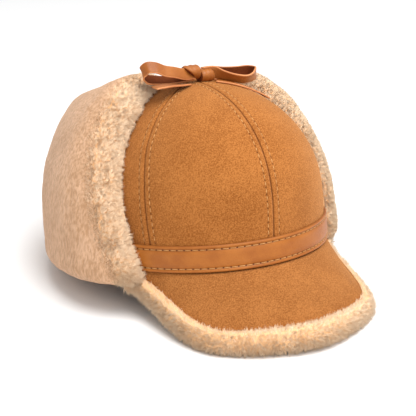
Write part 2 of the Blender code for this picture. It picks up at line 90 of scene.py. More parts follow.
# Band
BAND_HEIGHT = 19.0 * MM
BAND_THICKNESS = 1.5 * MM
BAND_TURN = 76.0             # degrees from the front to each end, under the flaps
BAND_ROW_INSET = 2.9 * MM    # rows of stitching from the band's edges
BAND_PITCH = 5.2 * MM
BAND_STITCH = 4.2 * MM
BAND_PUCKER = 0.18 * MM      # rise and fall of the leather along a row
BAND_PUCKER_WIDTH = 0.7 * MM
BAND_THREAD_STAND = 1.35 * MM

# Peak and its wool
PEAK_ROOT_TURN = 65.0        # degrees from the front to each root end
PEAK_HALF_WIDTH = 81.0 * MM
PEAK_REACH = 42.5 * MM       # ahead of the crown's front
PEAK_DROP = 34.5 * MM
PEAK_THICKNESS = 3.0 * MM
PEAK_CROWNING = 2.0 * MM     # swell of the board between its root and its edge
PEAK_ROOT_SHARE = 0.17       # share of the board over which its edge turns from the crown
PEAK_LEAST_REACH = 0.05      # least share of the board's depth at which directions are taken
TRIM_OVERLAP = 6.0 * MM      # onto the top of the board
TRIM_STAND = 12.0 * MM       # beyond the edge of the board
TRIM_RISE = 10.0 * MM        # above the board
TRIM_TOP = 0.88              # share of that overlap and rise in front
TRIM_TOP_LESS_RIGHT = 0.24   # how much smaller the share is at the sides
TRIM_TOP_LESS_LEFT = 0.46
TRIM_TOP_RUN = 0.5           # share of half the edge over which it falls
TRIM_END_SHARE = 0.35        # share of the rise at the root ends
TRIM_END_RUN = 0.16          # share of the edge over which it comes up
TRIM_FOOT_SHARE = 0.3        # share of the rise of the wool's inner foot on the board
TRIM_SHOULDER = (0.55, 0.8)  # shares of the overlap and of the rise at its inner shoulder
TRIM_DEPTH = 9.0 * MM        # below the board's underside at the edge
UNDER_WOOL = 6.0 * MM        # pile under the board
UNDER_INSETS = (0.25, 0.55, 0.96)
UNDER_BACK_INSETS = (0.96, 1 - PEAK_ROOT_SHARE, 0.5, 0.17)

# Earflap
FLAP_CLEARANCE = 2.4 * MM    # from the crown, over the band
FLAP_STAND = 25.0 * MM       # wool's outer face from the crown, at the band
FLAP_SKIN = 1.2 * MM         # least thickness, at the cut edges
FLAP_FRONT_ROLL = 22.0       # degrees over which the front edge rounds off
FLAP_TOP_ROLL = 0.26         # share of the flap's height over which its top rounds off
FLAP_BACK_CLIMB = 0.56       # top of the flap at the back of the head
FLAP_TIP_CLIMB = 0.87        # top of the flap at its tips
FLAP_TOP_RUN = 1.7           # the top has risen to its tips at 1 / this share of the way to the front
FLAP_TOP_CURVE = 1.5
FLAP_LINING_FOOT = 2.0 * MM  # where its lining side turns in, above the band's lower edge
FLAP_CROWDING = 1.6          # how much closer the sections stand towards the front edges
FLAP_ROWS_CROWDING = 0.85    # the same of the rows towards the top
FLAP_STATIONS = 301
FLAP_ROWS = 56
LINING_ROWS = 14
HEM_ROWS = 14
HEM_HOOK = 2.5 * MM          # turned in under the crown's rim
HEM_BACK_DROP = 4.0 * MM     # hem below the rim at the back
HEM_SIDE_DROP = 7.0 * MM     # hem below the rim at the sides
HEM_ROUND = 13.0 * MM        # height of the hem's rounding
HEM_RIM_SHARE = 0.6          # share of the clearance left at the crown's rim
HEM_UNDER_SHARE = 0.25       # share of the pile at the hem's underside
HEM_EDGE_SHARE = 0.45        # share of the pile where the rounding starts
HEM_FIRST_ANGLE = 8.0        # degrees, where the rounding meets the flap's face
FLUFF_FULL = 3.0 * MM        # width of the curly edge
FLUFF_FADE = 11.0 * MM       # width over which it fades into the sheared face
FLUFF_SINK = 1.0 * MM        # the pile under the curls lies this much lower
FLUFF_TOP = 0.7              # how curly the top edge is
FLUFF_TOP_START = 0.93       # share of the flap's height where that edge starts
FLUFF_TOP_RUN = 0.05
FLUFF_TOP_FRONT = 0.3        # station where the top edge starts to curl, and the run over which it does

# Long wool: locks gathered in tufts
LOCK_LEAN = 0.4              # lean of the tufts along the flow
LOCK_WANDER = 0.38           # their lean to any side
LOCK_KEEP = 0.72             # share of its root's place in the tuft that a tip keeps
LOCK_LOOSE = 0.2             # share of the length by which a tip strays
LOCK_SHORTEST = 0.3          # share of the length where the wool is thinnest
LOCK_VARIETY = (0.75, 1.25)  # range of the lengths and of the widths
LOCK_SINK = 0.6 * MM         # roots under the pile's face
LOCK_FOOT = 0.55             # half width at the foot, as a share of the width
LOCK_CROWDING = 0.6          # how much the density follows the share of wool
TUFT_TONE = 0.4              # share of a lock's tone that its tuft sets
SHADE_RISE = 0.25            # how far a lock's shading follows its tuft
SHADE_LOOSE = 0.35           # how far it follows its own way
SHADE_ROUND = 0.3            # how far it goes round the lock
PEAK_LOCKS = {"count": 46000, "spacing": 1.9 * MM, "length": 3.4 * MM, "width": 0.42 * MM, "seed": 11}
FLAP_LOCKS = {"count": 46000, "spacing": 1.7 * MM, "width": 0.34 * MM}
RIGHT_LOCKS = {"length": 3.5 * MM, "seed": 21}
LEFT_LOCKS = {"length": 2.4 * MM, "seed": 22}

# Relief of the pile: features to the metre and height
LINING_RELIEF = (260.0, 0.7 * MM)
PEAK_RELIEF = (330.0, 0.5 * MM)
FLAP_WAVES = (120.0, 0.5 * MM)
FLAP_RELIEF = (420.0, 0.35 * MM)
FLAP_RELIEF_LEAST = 0.3      # share of that relief on the sheared face, to which the curls add theirs

# Wool of the peak, with places as shares of the way from its inner border over the roll and under the
# board to its root
ROLL_SECTIONS, ROLL_POINTS = 221, 46
ROLL_SINK = 2.2 * MM         # the pile under the curls lies this much lower on the roll's top
ROLL_SINK_COMES = 0.03
ROLL_SINK_GOES = (0.42, 0.2) # start and run
ROLL_THINNEST = 0.3          # share of wool at the inner border
ROLL_THICKENS = 0.3          # run over which the wool gets full
ROLL_UNDER_LESS = 0.65       # how much less wool there is under the board
ROLL_UNDER = (0.7, 0.1)      # start and run
ROLL_FLOW = 0.5              # lean of the locks away from the head
ROLL_FLOW_START = 0.2

# Laces and bow
LACE_WIDTH = 9.0 * MM
LACE_THICKNESS = 1.3 * MM
LACE_CUT = 0.93              # share of half the width beyond which its cut edge shows
KNOT_HEIGHT = 12.0 * MM
KNOT_FORWARD = 8.5 * MM      # knot ahead of the apex
INTO_KNOT = (0.3, 0.5, 0.6)  # place of a lace inside the knot, as shares of where it comes out
WRAP_BORDER = 0.7            # size of a wrap at its borders, as a share of its size in the middle
WRAP_UNEVEN = 0.03
WRAP_CREASE = 0.2            # height in millimetres of the creases along the knot
WRAP_CREASES = 3.1           # half waves of them over half the wrap
PEAK_OUTLINE = (
    # across, forward, drop
    (1.000, 0.009, 0.080),
    (0.953, 0.074, 0.215),
    (0.923, 0.144, 0.354),
    (0.893, 0.323, 0.570),
    (0.856, 0.522, 0.785),
    (0.815, 0.640, 0.900),
    (0.735, 0.750, 0.985),
    (0.568, 0.845, 1.040),
    (0.296, 0.948, 1.070),
    (0.000, 1.000, 1.080),
)
FLAP_PROFILE = (
    # climb, angle, right, left
    (-0.03, 60.5, 1.25, 0.66),
    (0.06, 61.5, 1.17, 0.68),
    (0.16, 64.5, 1.14, 0.73),
    (0.35, 71.0, 1.20, 0.86),
    (0.55, 77.0, 1.20, 1.00),
    (0.68, 80.0, 1.08, 0.84),
    (0.80, 93.0, 0.88, 0.56),
    (1.00, 118.0, 0.70, 0.36),
)
# Half of the band's section, from an edge to its middle
BAND_SECTION = (
    # in from the edge, off the crown, both in millimetres
    (0.0, 0.35, 0.0),
    (0.1, 1.1, 0.0),
    (0.6, 1.75, 0.0),
    (1.3, 1.9, 0.0),
    (2.1, 1.6, 0.0),
    (2.9, 1.1, 0.0),
    (3.7, 1.5, 0.0),
    (5.0, 1.8, 0.0),
    (9.5, 1.9, 0.0),
)
LOOP_RIGHT_ROUTE = (
    # x, y, z, lean
    (-12.8, -3.0, 1.0, -25.0),
    (-20.0, -4.0, 3.2, -30.0),
    (-28.0, -4.2, 5.3, -32.0),
    (-35.5, -3.6, 8.6, -34.0),
    (-40.8, -1.8, 9.0, -26.0),
    (-42.8, 1.2, 6.0, 0.0),
    (-40.0, 4.0, 1.2, 34.0),
    (-31.0, 4.4, -1.4, 50.0),
    (-21.0, 3.4, -2.4, 55.0),
    (-12.2, 2.4, -1.8, 45.0),
)
LOOP_LEFT_ROUTE = (
    (12.6, -2.6, -0.9, -10.0),
    (18.0, -6.6, -3.6, -34.0),
    (26.0, -9.6, -6.4, -50.0),
    (34.0, -9.2, -8.2, -48.0),
    (42.0, -6.0, -7.6, -30.0),
    (48.2, -0.6, -5.6, 0.0),
    (46.0, 4.6, -4.8, 8.0),
    (36.0, 5.8, -4.2, 16.0),
    (23.0, 5.0, -2.9, 16.0),
    (12.6, 3.2, -1.0, 10.0),
)
TAIL_RIGHT_ROUTE = (
    # x, y, height over the crown
    (-11.5, -4.0, 0.9),
    (-17.0, -6.5, 2.8),
    (-25.0, -8.0, 6.8),
    (-34.0, -7.5, 11.6),
)
TAIL_LEFT_ROUTE = (
    (11.5, -6.8, 0.9),
    (17.0, -10.8, 0.9),
    (25.0, -14.4, 0.9),
    (35.0, -16.4, 0.9),
    (45.5, -16.0, 1.4),
)
TIE_RIGHT_ROUTE = (
    (-11.5, 6.0, 0.9),
    (-14.5, 8.0, 0.9),
    (-17.0, 10.5, 0.9),
)
TIE_LEFT_ROUTE = (
    (11.5, 6.0, 0.9),
    (14.5, 8.0, 0.9),
    (17.0, 10.5, 0.9),
)

# Camera, measured against the cap's own frame
VIEW_TILT = 9.13             # degrees by which the photograph's cap leans back
VIEW_AZIMUTH = 30.36         # degrees round to the wearer's right
VIEW_ELEVATION = 20.65
VIEW_ACROSS, VIEW_UP, VIEW_BACK = 3.685 * MM, 22.555 * MM, 1000.0 * MM
FOCAL_PIXELS, FRAME_PIXELS = 1340.0, 416.0
SENSOR = 36.0
NEAREST = 50.0 * MM

# Studio
WORLD_LIGHT = 0.64
LIGHTS_AIM = (0.0, 0.0, 0.08)
LIGHTS = (
    # name, place, size, watts
    ("top", (0.12, -0.36, 1.3), 1.1, 22.0),
    ("front", (-0.1, -1.5, 0.75), 1.0, 6.0),
)
FLOOR_REACH = 6.0
def smooth(table, count):
    """A smooth curve through the table's rows, read at this many evenly spaced places."""
    rows = np.array(table, float)
    steps = np.linalg.norm(np.diff(rows, axis=0)[:, :3], axis=1)
    at = np.concatenate([[0.0], np.cumsum(steps)])
    slopes = np.gradient(rows, at, axis=0)
    wanted = np.linspace(0.0, at[-1], count)
    left = np.clip(np.searchsorted(at, wanted, side="right") - 1, 0, len(at) - 2)
    span = (at[left + 1] - at[left])[:, None]
    share = (wanted[:, None] - at[left][:, None]) / span
    start, end = rows[left], rows[left + 1]
    leaving, arriving = slopes[left] * span, slopes[left + 1] * span
    return (
        start * (1 + 2 * share) * (1 - share) ** 2
        + leaving * share * (1 - share) ** 2
        + end * share**2 * (3 - 2 * share)
        + arriving * share**2 * (share - 1)
    )


def unit(vectors):
    return vectors / np.maximum(np.linalg.norm(vectors, axis=-1, keepdims=True), 1e-12)


def ease(values):
    values = np.clip(values, 0, 1)
    return values * values * (3 - 2 * values)


def fade(values, start, run):
    """1 up to the start, and 0 once past the run after it."""
    return 1 - ease((values - start) / run)


# How the cap stands, read from its band

def band_points():
    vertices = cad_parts["band"].data.vertices
    return np.array([tuple(vertex.co) for vertex in vertices])


def standing_pitch(points):
    """The pitch that makes the band level again, so that its points span the least height."""
    pitch = span = math.radians(MOST_PITCH / 2)
    for _ in range(5):
        tries = pitch + span * np.linspace(-1, 1, 61)
        heights = np.outer(points[:, 1], np.sin(tries)) + np.outer(points[:, 2], np.cos(tries))
        pitch = tries[np.argmin(np.ptp(heights, axis=0))]
        span /= 20
    return pitch


PITCH = standing_pitch(band_points())
STANDING = Matrix.Rotation(-PITCH, 4, "X")


def level(points):
    """World points turned back into the cap's own directions."""
    c, s = math.cos(PITCH), math.sin(PITCH)
    x, y, z = np.asarray(points).T
    return np.stack([x, y * c - z * s, z * c + y * s], axis=-1)


def standing_place():
    points = level(band_points())
    front = -CROWN_HALF_LENGTH - GAP - BAND_THICKNESS
    middle = (points[:, 0].min() + points[:, 0].max()) / 2
    return np.array([middle, points[:, 1].min() - front, points[:, 2].min()])


PLACE = standing_place()


def to_world(points):
    c, s = math.cos(PITCH), math.sin(PITCH)
    x, y, z = (np.asarray(points).reshape(-1, 3) + PLACE).T
    return np.stack([x, y * c + z * s, z * c - y * s], axis=-1)


# The crown's surface

def dome(turn, arc):
    """The dome's profile, for arcs from 0 to a right angle: shares of its rise and of its half width."""
    full = CROWN_FULL_FRONT + (CROWN_FULL_SIDE - CROWN_FULL_FRONT) * np.sin(turn) ** 2
    lift = np.sin(arc) ** (2 / full)
    bulge = CROWN_BULGE * np.cos(turn) ** 2 * np.sin(np.pi * np.clip(lift / BULGE_SPAN, 0, 1))
    return lift, np.cos(arc) * (1 + bulge)


def crown_skin(turn, climb):
    """Points of the crown's outer face without its puff, for turns in degrees."""
    turn, climb = np.broadcast_arrays(np.radians(turn), np.asarray(climb, float))
    arc = np.clip((climb - BAND_CLIMB) / (1 - BAND_CLIMB), 0, 1) * math.pi / 2
    lift, share = dome(turn, arc)
    foot = -RIM_DEPTH + (BAND_HEIGHT + RIM_DEPTH) * climb / BAND_CLIMB
    z = np.where(climb <= BAND_CLIMB, foot, BAND_HEIGHT + CROWN_RISE * lift)
    x = CROWN_HALF_WIDTH * share * np.sin(turn)
    y = -APEX_SHIFT * lift - CROWN_HALF_LENGTH * share * np.cos(turn)
    return np.stack([x, y, z], axis=-1)


def crown_outward(turn, climb):
    """Unit normals of the crown's outer face."""
    step = 1e-3
    high = np.minimum(np.asarray(climb, float) + step, NEAR_APEX)
    around = crown_skin(turn + math.degrees(step), climb) - crown_skin(turn - math.degrees(step), climb)
    upward = crown_skin(turn, high) - crown_skin(turn, high - 2 * step)
    return unit(np.cross(around, upward))


def off_crown(turn, climb, stand):
    """Points that stand this far off the crown's outer face."""
    return crown_skin(turn, climb) + np.asarray(stand)[..., None] * crown_outward(turn, climb)


def climb_at(z):
    """The climb of a height below the top of the band."""
    return BAND_CLIMB * (z + RIM_DEPTH) / (BAND_HEIGHT + RIM_DEPTH)


def panel_swell(climb):
    """Height of a panel's puff midway between its seams."""
    climb = np.asarray(climb, float)
    comes = np.clip((climb - BAND_CLIMB) / PUFF_COMES, 0, 1)
    return PANEL_PUFF * comes * np.clip((1 - climb) / PUFF_GOES, 0, 1)


def crown_meridian(turn):
    """Climbs up one side of the crown, and the length along it to each."""
    rows = 4000
    climb = BAND_CLIMB + (1 - BAND_CLIMB) * np.linspace(0, 1, rows) ** 2
    climb = np.concatenate([np.linspace(0, BAND_CLIMB, 100)[:-1], climb])
    steps = np.linalg.norm(np.diff(crown_skin(turn, climb), axis=0), axis=1)
    return climb, np.concatenate([[0.0], np.cumsum(steps)])


def degrees_per_metre(turn, climb):
    """How many degrees of turn go to a metre round the crown, at this height."""
    ends = crown_skin(turn + 0.5, climb) - crown_skin(turn - 0.5, climb)
    return 1.0 / np.maximum(np.linalg.norm(ends, axis=-1), 1e-6)


# Meshes

def piece_from(name, points, polygons, materials, which=None, corners=None, marks=None, normals=None):
    """An object from points of the cap's frame and a list of index arrays, its polygons. which holds
    each polygon's material, corners a UV place for each corner, marks named numbers for each point and
    normals each point's shading normal."""
    world = to_world(points)
    sizes = np.concatenate([np.full(len(group), group.shape[1]) for group in polygons])
    if volume(world, polygons) < 0:
        if corners is not None:
            corners = flipped_corners(corners, polygons)
        polygons = [group[:, ::-1] for group in polygons]
    flat = np.concatenate([group.ravel() for group in polygons])
    world[:, 2] = np.maximum(world[:, 2], 0.0)
    mesh = bpy.data.meshes.new(name)
    mesh.vertices.add(len(world))
    mesh.vertices.foreach_set("co", world.ravel())
    mesh.loops.add(len(flat))
    mesh.loops.foreach_set("vertex_index", flat.astype(np.int32))
    mesh.polygons.add(len(sizes))
    mesh.polygons.foreach_set("loop_start", (np.cumsum(sizes) - sizes).astype(np.int32))
    for material in materials:
        mesh.materials.append(material)
    if which is not None:
        mesh.polygons.foreach_set("material_index", np.asarray(which, np.int32))
    mesh.update(calc_edges=True)
    if corners is not None:
        layer = mesh.uv_layers.new(name="seams")
        layer.data.foreach_set("uv", corners.ravel().astype(np.float32))
    for key, values in (marks or {}).items():
        attribute = mesh.attributes.new(key, "FLOAT", "POINT")
        attribute.data.foreach_set("value", np.asarray(values, np.float32).ravel())
    mesh.validate()
    mesh.shade_smooth()
    if normals is not None:
        standing = np.asarray(normals) @ np.array(STANDING.to_3x3()).T
        mesh.normals_split_custom_set_from_vertices(standing)
    made = bpy.data.objects.new(name, mesh)
    bpy.context.scene.collection.objects.link(made)
    return made


def volume(points, polygons):
    total = 0.0
    for group in polygons:
        first = points[group[:, 0]]
        for k in range(1, group.shape[1] - 1):
            total += np.einsum("ij,ij->", first, np.cross(points[group[:, k]], points[group[:, k + 1]]))
    return total


def flipped_corners(corners, polygons):
    """The corners' UV places once each polygon runs the other way round."""
    turned, at = [], 0
    for group in polygons:
        mine = corners[at:at + group.size].reshape(*group.shape, 2)
        turned.append(mine[:, ::-1].reshape(-1, 2))
        at += group.size
    return np.concatenate(turned)


def place_piece(made, slot, *nodes):
    """The piece rides on the cap's one body and stands for these solids. slot is not used."""
    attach(made, "root")
    if nodes:
        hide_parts(*nodes)
    return made


def sheet_polygons(rows, columns):
    """Quads of a walled sheet: its outer grid, its inner grid and the rim between them."""
    count = rows * columns
    at = np.arange(count).reshape(rows, columns)
    a, b, c, d = at[:-1, :-1].ravel(), at[:-1, 1:].ravel(), at[1:, 1:].ravel(), at[1:, :-1].ravel()
    outer = np.stack([a, b, c, d], axis=1)
    inner = np.stack([a, d, c, b], axis=1) + count
    border = np.concatenate([at[0, :-1], at[:-1, -1], at[-1, :0:-1], at[:0:-1, 0]])
    following = np.roll(border, -1)
    rim = np.stack([following, border, border + count, following + count], axis=1)
    return outer, inner, rim


def ring_polygons(count, size):
    """Quads through closed rings, and a face over each end."""
    at = np.arange(count * size).reshape(count, size)
    near, far = at[:-1], at[1:]
    quads = np.stack([near, np.roll(near, -1, axis=1), np.roll(far, -1, axis=1), far], axis=-1)
    ends = np.stack([at[0][::-1], at[-1]])
    return quads.reshape(-1, 4), ends


# Materials

def add_node(tree, kind, inputs=None, **settings):
    made = tree.nodes.new(kind)
    for key, value in settings.items():
        setattr(made, key, value)
    for socket, value in (inputs or {}).items():
        if isinstance(value, bpy.types.NodeSocket):
            tree.links.new(value, made.inputs[socket])
        else:
            made.inputs[socket].default_value = value
    return made


def calculate(tree, operation, a, b=0.0):
    return add_node(tree, "ShaderNodeMath", {0: a, 1: b}, operation=operation).outputs[0]


def between(tree, value, low, high, start=0.0, end=1.0):
    """The value's way from low to high, eased, run from start to end."""
    inputs = {"Value": value, "From Min": low, "From Max": high, "To Min": start, "To Max": end}
    return add_node(tree, "ShaderNodeMapRange", inputs, interpolation_type="SMOOTHSTEP").outputs[0]


def spread(tree, value, start, end):
    """Noise stretched to run from start to end. It hardly leaves the range from 0.3 to 0.7."""
    return between(tree, value, 0.3, 0.7, start, end)


def blend(tree, share, a, b):
    return add_node(tree, "ShaderNodeMix", {0: share, 6: a, 7: b}, data_type="RGBA").outputs[2]


def mottle(tree, scale, detail=2.0, turn=(0.0, 0.0, 0.0), stretch=(1.0, 1.0, 1.0)):
    """Noise over the object, in features to the metre."""
    place = add_node(tree, "ShaderNodeTexCoord").outputs["Object"]
    placed = add_node(tree, "ShaderNodeMapping", {"Vector": place, "Rotation": turn, "Scale": stretch})
    inputs = {"Vector": placed.outputs[0], "Scale": scale, "Detail": detail, "Roughness": 0.6}
    return add_node(tree, "ShaderNodeTexNoise", inputs).outputs[0]


def plain_material(name, roughness, **sockets):
    material = bpy.data.materials.new(name)
    material.use_nodes = True
    shader = material.node_tree.nodes["Principled BSDF"]
    shader.inputs["Roughness"].default_value = roughness
    for key, value in sockets.items():
        shader.inputs[key.replace("_", " ")].default_value = value
    return material, material.node_tree, shader


def linear(red, green, blue):
    """A colour given as it looks on a screen, out of 255."""
    def one(value):
        value /= 255
        return value / 12.92 if value <= 0.04045 else ((value + 0.055) / 1.055) ** 2.4
    return (one(red), one(green), one(blue), 1.0)


def bump(tree, shader, *layers):
    """Layers of (height, distance in metres) on the shader's normal."""
    normal = None
    for height, distance in layers:
        inputs = {"Height": height, "Distance": distance, "Strength": 1.0}
        if normal is not None:
            inputs["Normal"] = normal
        normal = add_node(tree, "ShaderNodeBump", inputs).outputs[0]
    tree.links.new(normal, shader.inputs["Normal"])


def painted_stitch_shade(tree, beside, along, pitch, radius, hole_shade, row_shade):
    """Painted shade in a row's needle holes and along the row, from the distance
    beside the row and the length along it."""
    turns = calculate(tree, "FRACT", calculate(tree, "DIVIDE", along, pitch))
    from_hole = calculate(tree, "ABSOLUTE", calculate(tree, "SUBTRACT", turns, 0.5))
    from_hole = calculate(tree, "MULTIPLY", from_hole, pitch)
    squares = [calculate(tree, "POWER", distance, 2.0) for distance in (beside, from_hole)]
    away = calculate(tree, "SQRT", calculate(tree, "ADD", *squares))
    painted_hole_shade = between(tree, away, radius, 0.8 * MM, hole_shade, 0.0)
    row = between(tree, beside, 0.3 * MM, 1.2 * MM, row_shade, 0.0)
    return calculate(tree, "MAXIMUM", painted_hole_shade, row)


def seam_map(tree):
    """The two lengths that a piece's UV map holds."""
    place = add_node(tree, "ShaderNodeUVMap", uv_map="seams").outputs[0]
    apart = add_node(tree, "ShaderNodeSeparateXYZ", {0: place})
    return apart.outputs[0], apart.outputs[1]


def suede_material(name, light, deep, seams=False):
    """Suede: a short nap, mottled where it lies differently. With seams, its UV map holds the distance
    from the nearest seam and the length along it, in metres."""
    material, tree, shader = plain_material(
        name, 0.92, Sheen_Weight=0.35, Sheen_Roughness=0.5, Specular_IOR_Level=0.15
    )
    shader.inputs["Sheen Tint"].default_value = linear(245, 190, 130)
    grain = mottle(tree, 1150.0, 3.0)
    cloud = mottle(tree, 38.0, 3.0)
    fibre = mottle(tree, 2200.0, 2.0)
    tone = calculate(tree, "ADD", spread(tree, grain, -0.75, 0.75), spread(tree, cloud, 0.3, 0.7))
    colour = blend(tree, tone, deep, light)
    if seams:
        from_seam, along = seam_map(tree)
        groove = between(tree, from_seam, 0.1 * MM, 0.6 * MM, 0.5, 0.0)
        beside = calculate(tree, "ABSOLUTE", calculate(tree, "SUBTRACT", from_seam, STITCH_OFFSET))
        # Painted shade: the needle holes and the strip along each stitch row go towards the dark brown
        # below; the groove's darkening is the seam's own dark line.
        row = painted_stitch_shade(tree, beside, along, STITCH_PITCH, 0.3 * MM, 0.85, 0.15)
        colour = blend(tree, calculate(tree, "MAXIMUM", groove, row), colour, linear(86, 44, 18))
    tree.links.new(colour, shader.inputs["Base Color"])
    bump(tree, shader, (grain, 0.35 * MM), (fibre, 0.15 * MM))
    return material


def leather_material(name, light, deep, roughness, rows=None):
    """Smooth leather with a fine grain. Where rows gives its height, the stitch rows' inset and pitch,
    its UV map holds the length along it and the height on it, in metres."""
    material, tree, shader = plain_material(name, roughness, Specular_IOR_Level=0.3)
    cloud = mottle(tree, 60.0, 3.0)
    grain = mottle(tree, 1500.0, 3.0)
    tone = calculate(tree, "ADD", spread(tree, cloud, 0.2, 0.8), spread(tree, grain, -0.15, 0.15))
    colour = blend(tree, tone, deep, light)
    if rows:
        height, inset, pitch = rows
        along, up = seam_map(tree)
        half = height / 2
        from_middle = calculate(tree, "ABSOLUTE", calculate(tree, "SUBTRACT", up, half))
        beside = calculate(tree, "ABSOLUTE", calculate(tree, "SUBTRACT", from_middle, half - inset))
        # Painted shade: the needle holes and the strip along each stitch row go towards the dark brown
        # below, which the band's darker edges share as their own colour.
        row = painted_stitch_shade(tree, beside, along, pitch, 0.35 * MM, 1.0, 0.2)
        edge = between(tree, from_middle, half - 0.9 * MM, half - 0.1 * MM, 0.0, 0.35)
        colour = blend(tree, calculate(tree, "MAXIMUM", edge, row), colour, linear(92, 46, 18))
    tree.links.new(colour, shader.inputs["Base Color"])
    bump(tree, shader, (grain, 0.12 * MM), (cloud, 0.5 * MM))
    return material


def lock_material(name, root, tip):
    """Long wool. Its points carry their share of the way to the lock's tip and the lock's tone."""
    material, tree, shader = plain_material(
        name, 0.9, Sheen_Weight=0.05, Sheen_Roughness=0.4, Specular_IOR_Level=0.1
    )
    shader.inputs["Sheen Tint"].default_value = linear(255, 236, 214)
    out = add_node(tree, "ShaderNodeAttribute", attribute_name="tip").outputs["Fac"]
    tone = add_node(tree, "ShaderNodeAttribute", attribute_name="tone").outputs["Fac"]
    cloud = mottle(tree, 45.0, 2.0)
    out = calculate(tree, "MULTIPLY", out, 0.65)
    share = calculate(tree, "ADD", out, calculate(tree, "MULTIPLY", tone, 0.35))
    share = calculate(tree, "ADD", share, spread(tree, cloud, -0.12, 0.12))
    tree.links.new(blend(tree, share, root, tip), shader.inputs["Base Color"])
    return material


def sheared_material(name, light, deep):
    """Sheared wool, brushed in fine slanting strokes."""
    material, tree, shader = plain_material(
        name, 0.9, Sheen_Weight=0.35, Sheen_Roughness=0.4, Specular_IOR_Level=0.2
    )
    shader.inputs["Sheen Tint"].default_value = linear(255, 232, 214)
    slant = (math.radians(42), 0.0, 0.0)
    strokes = mottle(tree, 650.0, 3.0, slant, (1.0, 1.0, 0.32))
    fibre = mottle(tree, 1500.0, 2.0, slant, (1.0, 1.0, 0.3))
    cloud = mottle(tree, 42.0, 3.0)
    tone = calculate(tree, "ADD", spread(tree, strokes, -0.5, 0.5), spread(tree, cloud, 0.3, 0.7))
    tree.links.new(blend(tree, tone, deep, light), shader.inputs["Base Color"])
    bump(tree, shader, (strokes, 1.1 * MM), (fibre, 0.4 * MM))
    return material


CROWN_SUEDE = suede_material("crown_suede", linear(178, 112, 54), linear(140, 80, 30), seams=True)
PEAK_SUEDE = suede_material("peak_suede", linear(172, 110, 56), linear(136, 80, 34))
BAND_ROWS = (BAND_HEIGHT, BAND_ROW_INSET, BAND_PITCH)
BAND_LEATHER = leather_material("band_leather", linear(176, 106, 40), linear(152, 84, 26), 0.48, BAND_ROWS)
LACE_LEATHER = leather_material("lace_leather", linear(170, 102, 44), linear(140, 76, 28), 0.42)
# Dark inside leather: the lace's own inner face, and painted shade on the knot wraps' borders.
LACE_INSIDE_AND_SHADE = leather_material("lace_inside_and_shade", linear(124, 58, 12), linear(92, 38, 6), 0.9)
LACE_EDGE = leather_material("lace_edge", linear(214, 146, 94), linear(186, 114, 66), 0.6)
CUT_EDGE = suede_material("cut_edge", linear(190, 120, 66), linear(150, 86, 42))
THREAD = suede_material("thread", linear(214, 168, 112), linear(190, 140, 86))
CURL_WOOL = lock_material("curl_wool", linear(232, 186, 138), linear(252, 226, 196))
SHEARED_WOOL = sheared_material("sheared_wool", linear(216, 174, 140), linear(180, 138, 102))
LINING_WOOL = sheared_material("lining_wool", linear(226, 184, 142), linear(198, 152, 110))


# Crown panels

# How far the seams beside the middle ones stand forward of their meridians
SEAM_DRIFT = (
    # climb, degrees
    (0.0, 3.6),
    (0.16, 3.4),
    (0.38, 0.4),
    (0.52, -2.2),
    (0.68, -2.6),
    (0.85, -1.0),
    (1.0, 0.0),
)


def seam_turn(seam, climb):
    """The turn of a seam at each climb. The seams at front and back stay on their meridians."""
    table = np.array(SEAM_DRIFT)
    forward = np.interp(climb, table[:, 0], table[:, 1])
    return seam - forward * np.sign(round(math.sin(math.radians(seam)), 6))


# Distances of a panel's mesh lines from its seam, in millimetres
SEAM_LINES = (0.0, 0.25, 0.5, 0.75, 1.05, 1.5, 2.1, 2.8, 3.4, 3.8, 4.1, 4.4, 4.7, 5.1, 5.8, 6.8)


def seam_relief(from_seam, along):
    """Height of the suede beside a seam: the groove, the allowance under it and the stitched row."""
    groove = -SEAM_DEPTH * np.exp(-((from_seam / SEAM_HALF_WIDTH) ** 2))
    allowance = ease(from_seam / ALLOWANCE_EDGE) * fade(from_seam, ALLOWANCE_WIDTH, ALLOWANCE_EDGE)
    pucker = 0.65 - 0.35 * np.cos(2 * np.pi * along / STITCH_PITCH)
    row = np.exp(-(((from_seam - STITCH_OFFSET) / STITCH_DENT_WIDTH) ** 2))
    return groove + ALLOWANCE_RISE * allowance - STITCH_DENT * row * pucker


def panel_side(seam, sign, climb):
    """Turns of a panel's mesh lines beside one of its seams and their distances from it at each climb,
    and the climb's length along the seam."""
    rate = degrees_per_metre(seam, climb)
    lines = np.array(SEAM_LINES) * MM
    fit = np.minimum(1.0, SEAM_LINES_SHARE * PANEL_HALF / (lines[-1] * rate))
    metres = lines[None, :] * fit[:, None]
    margin = np.minimum(GAP / 2 * rate, PANEL_HALF / 2)
    offset = margin[:, None] + metres * rate[:, None] * (1 - margin / PANEL_HALF)[:, None]
    return seam_turn(seam, climb)[:, None] - sign * offset, metres, np.interp(climb, *crown_meridian(seam))


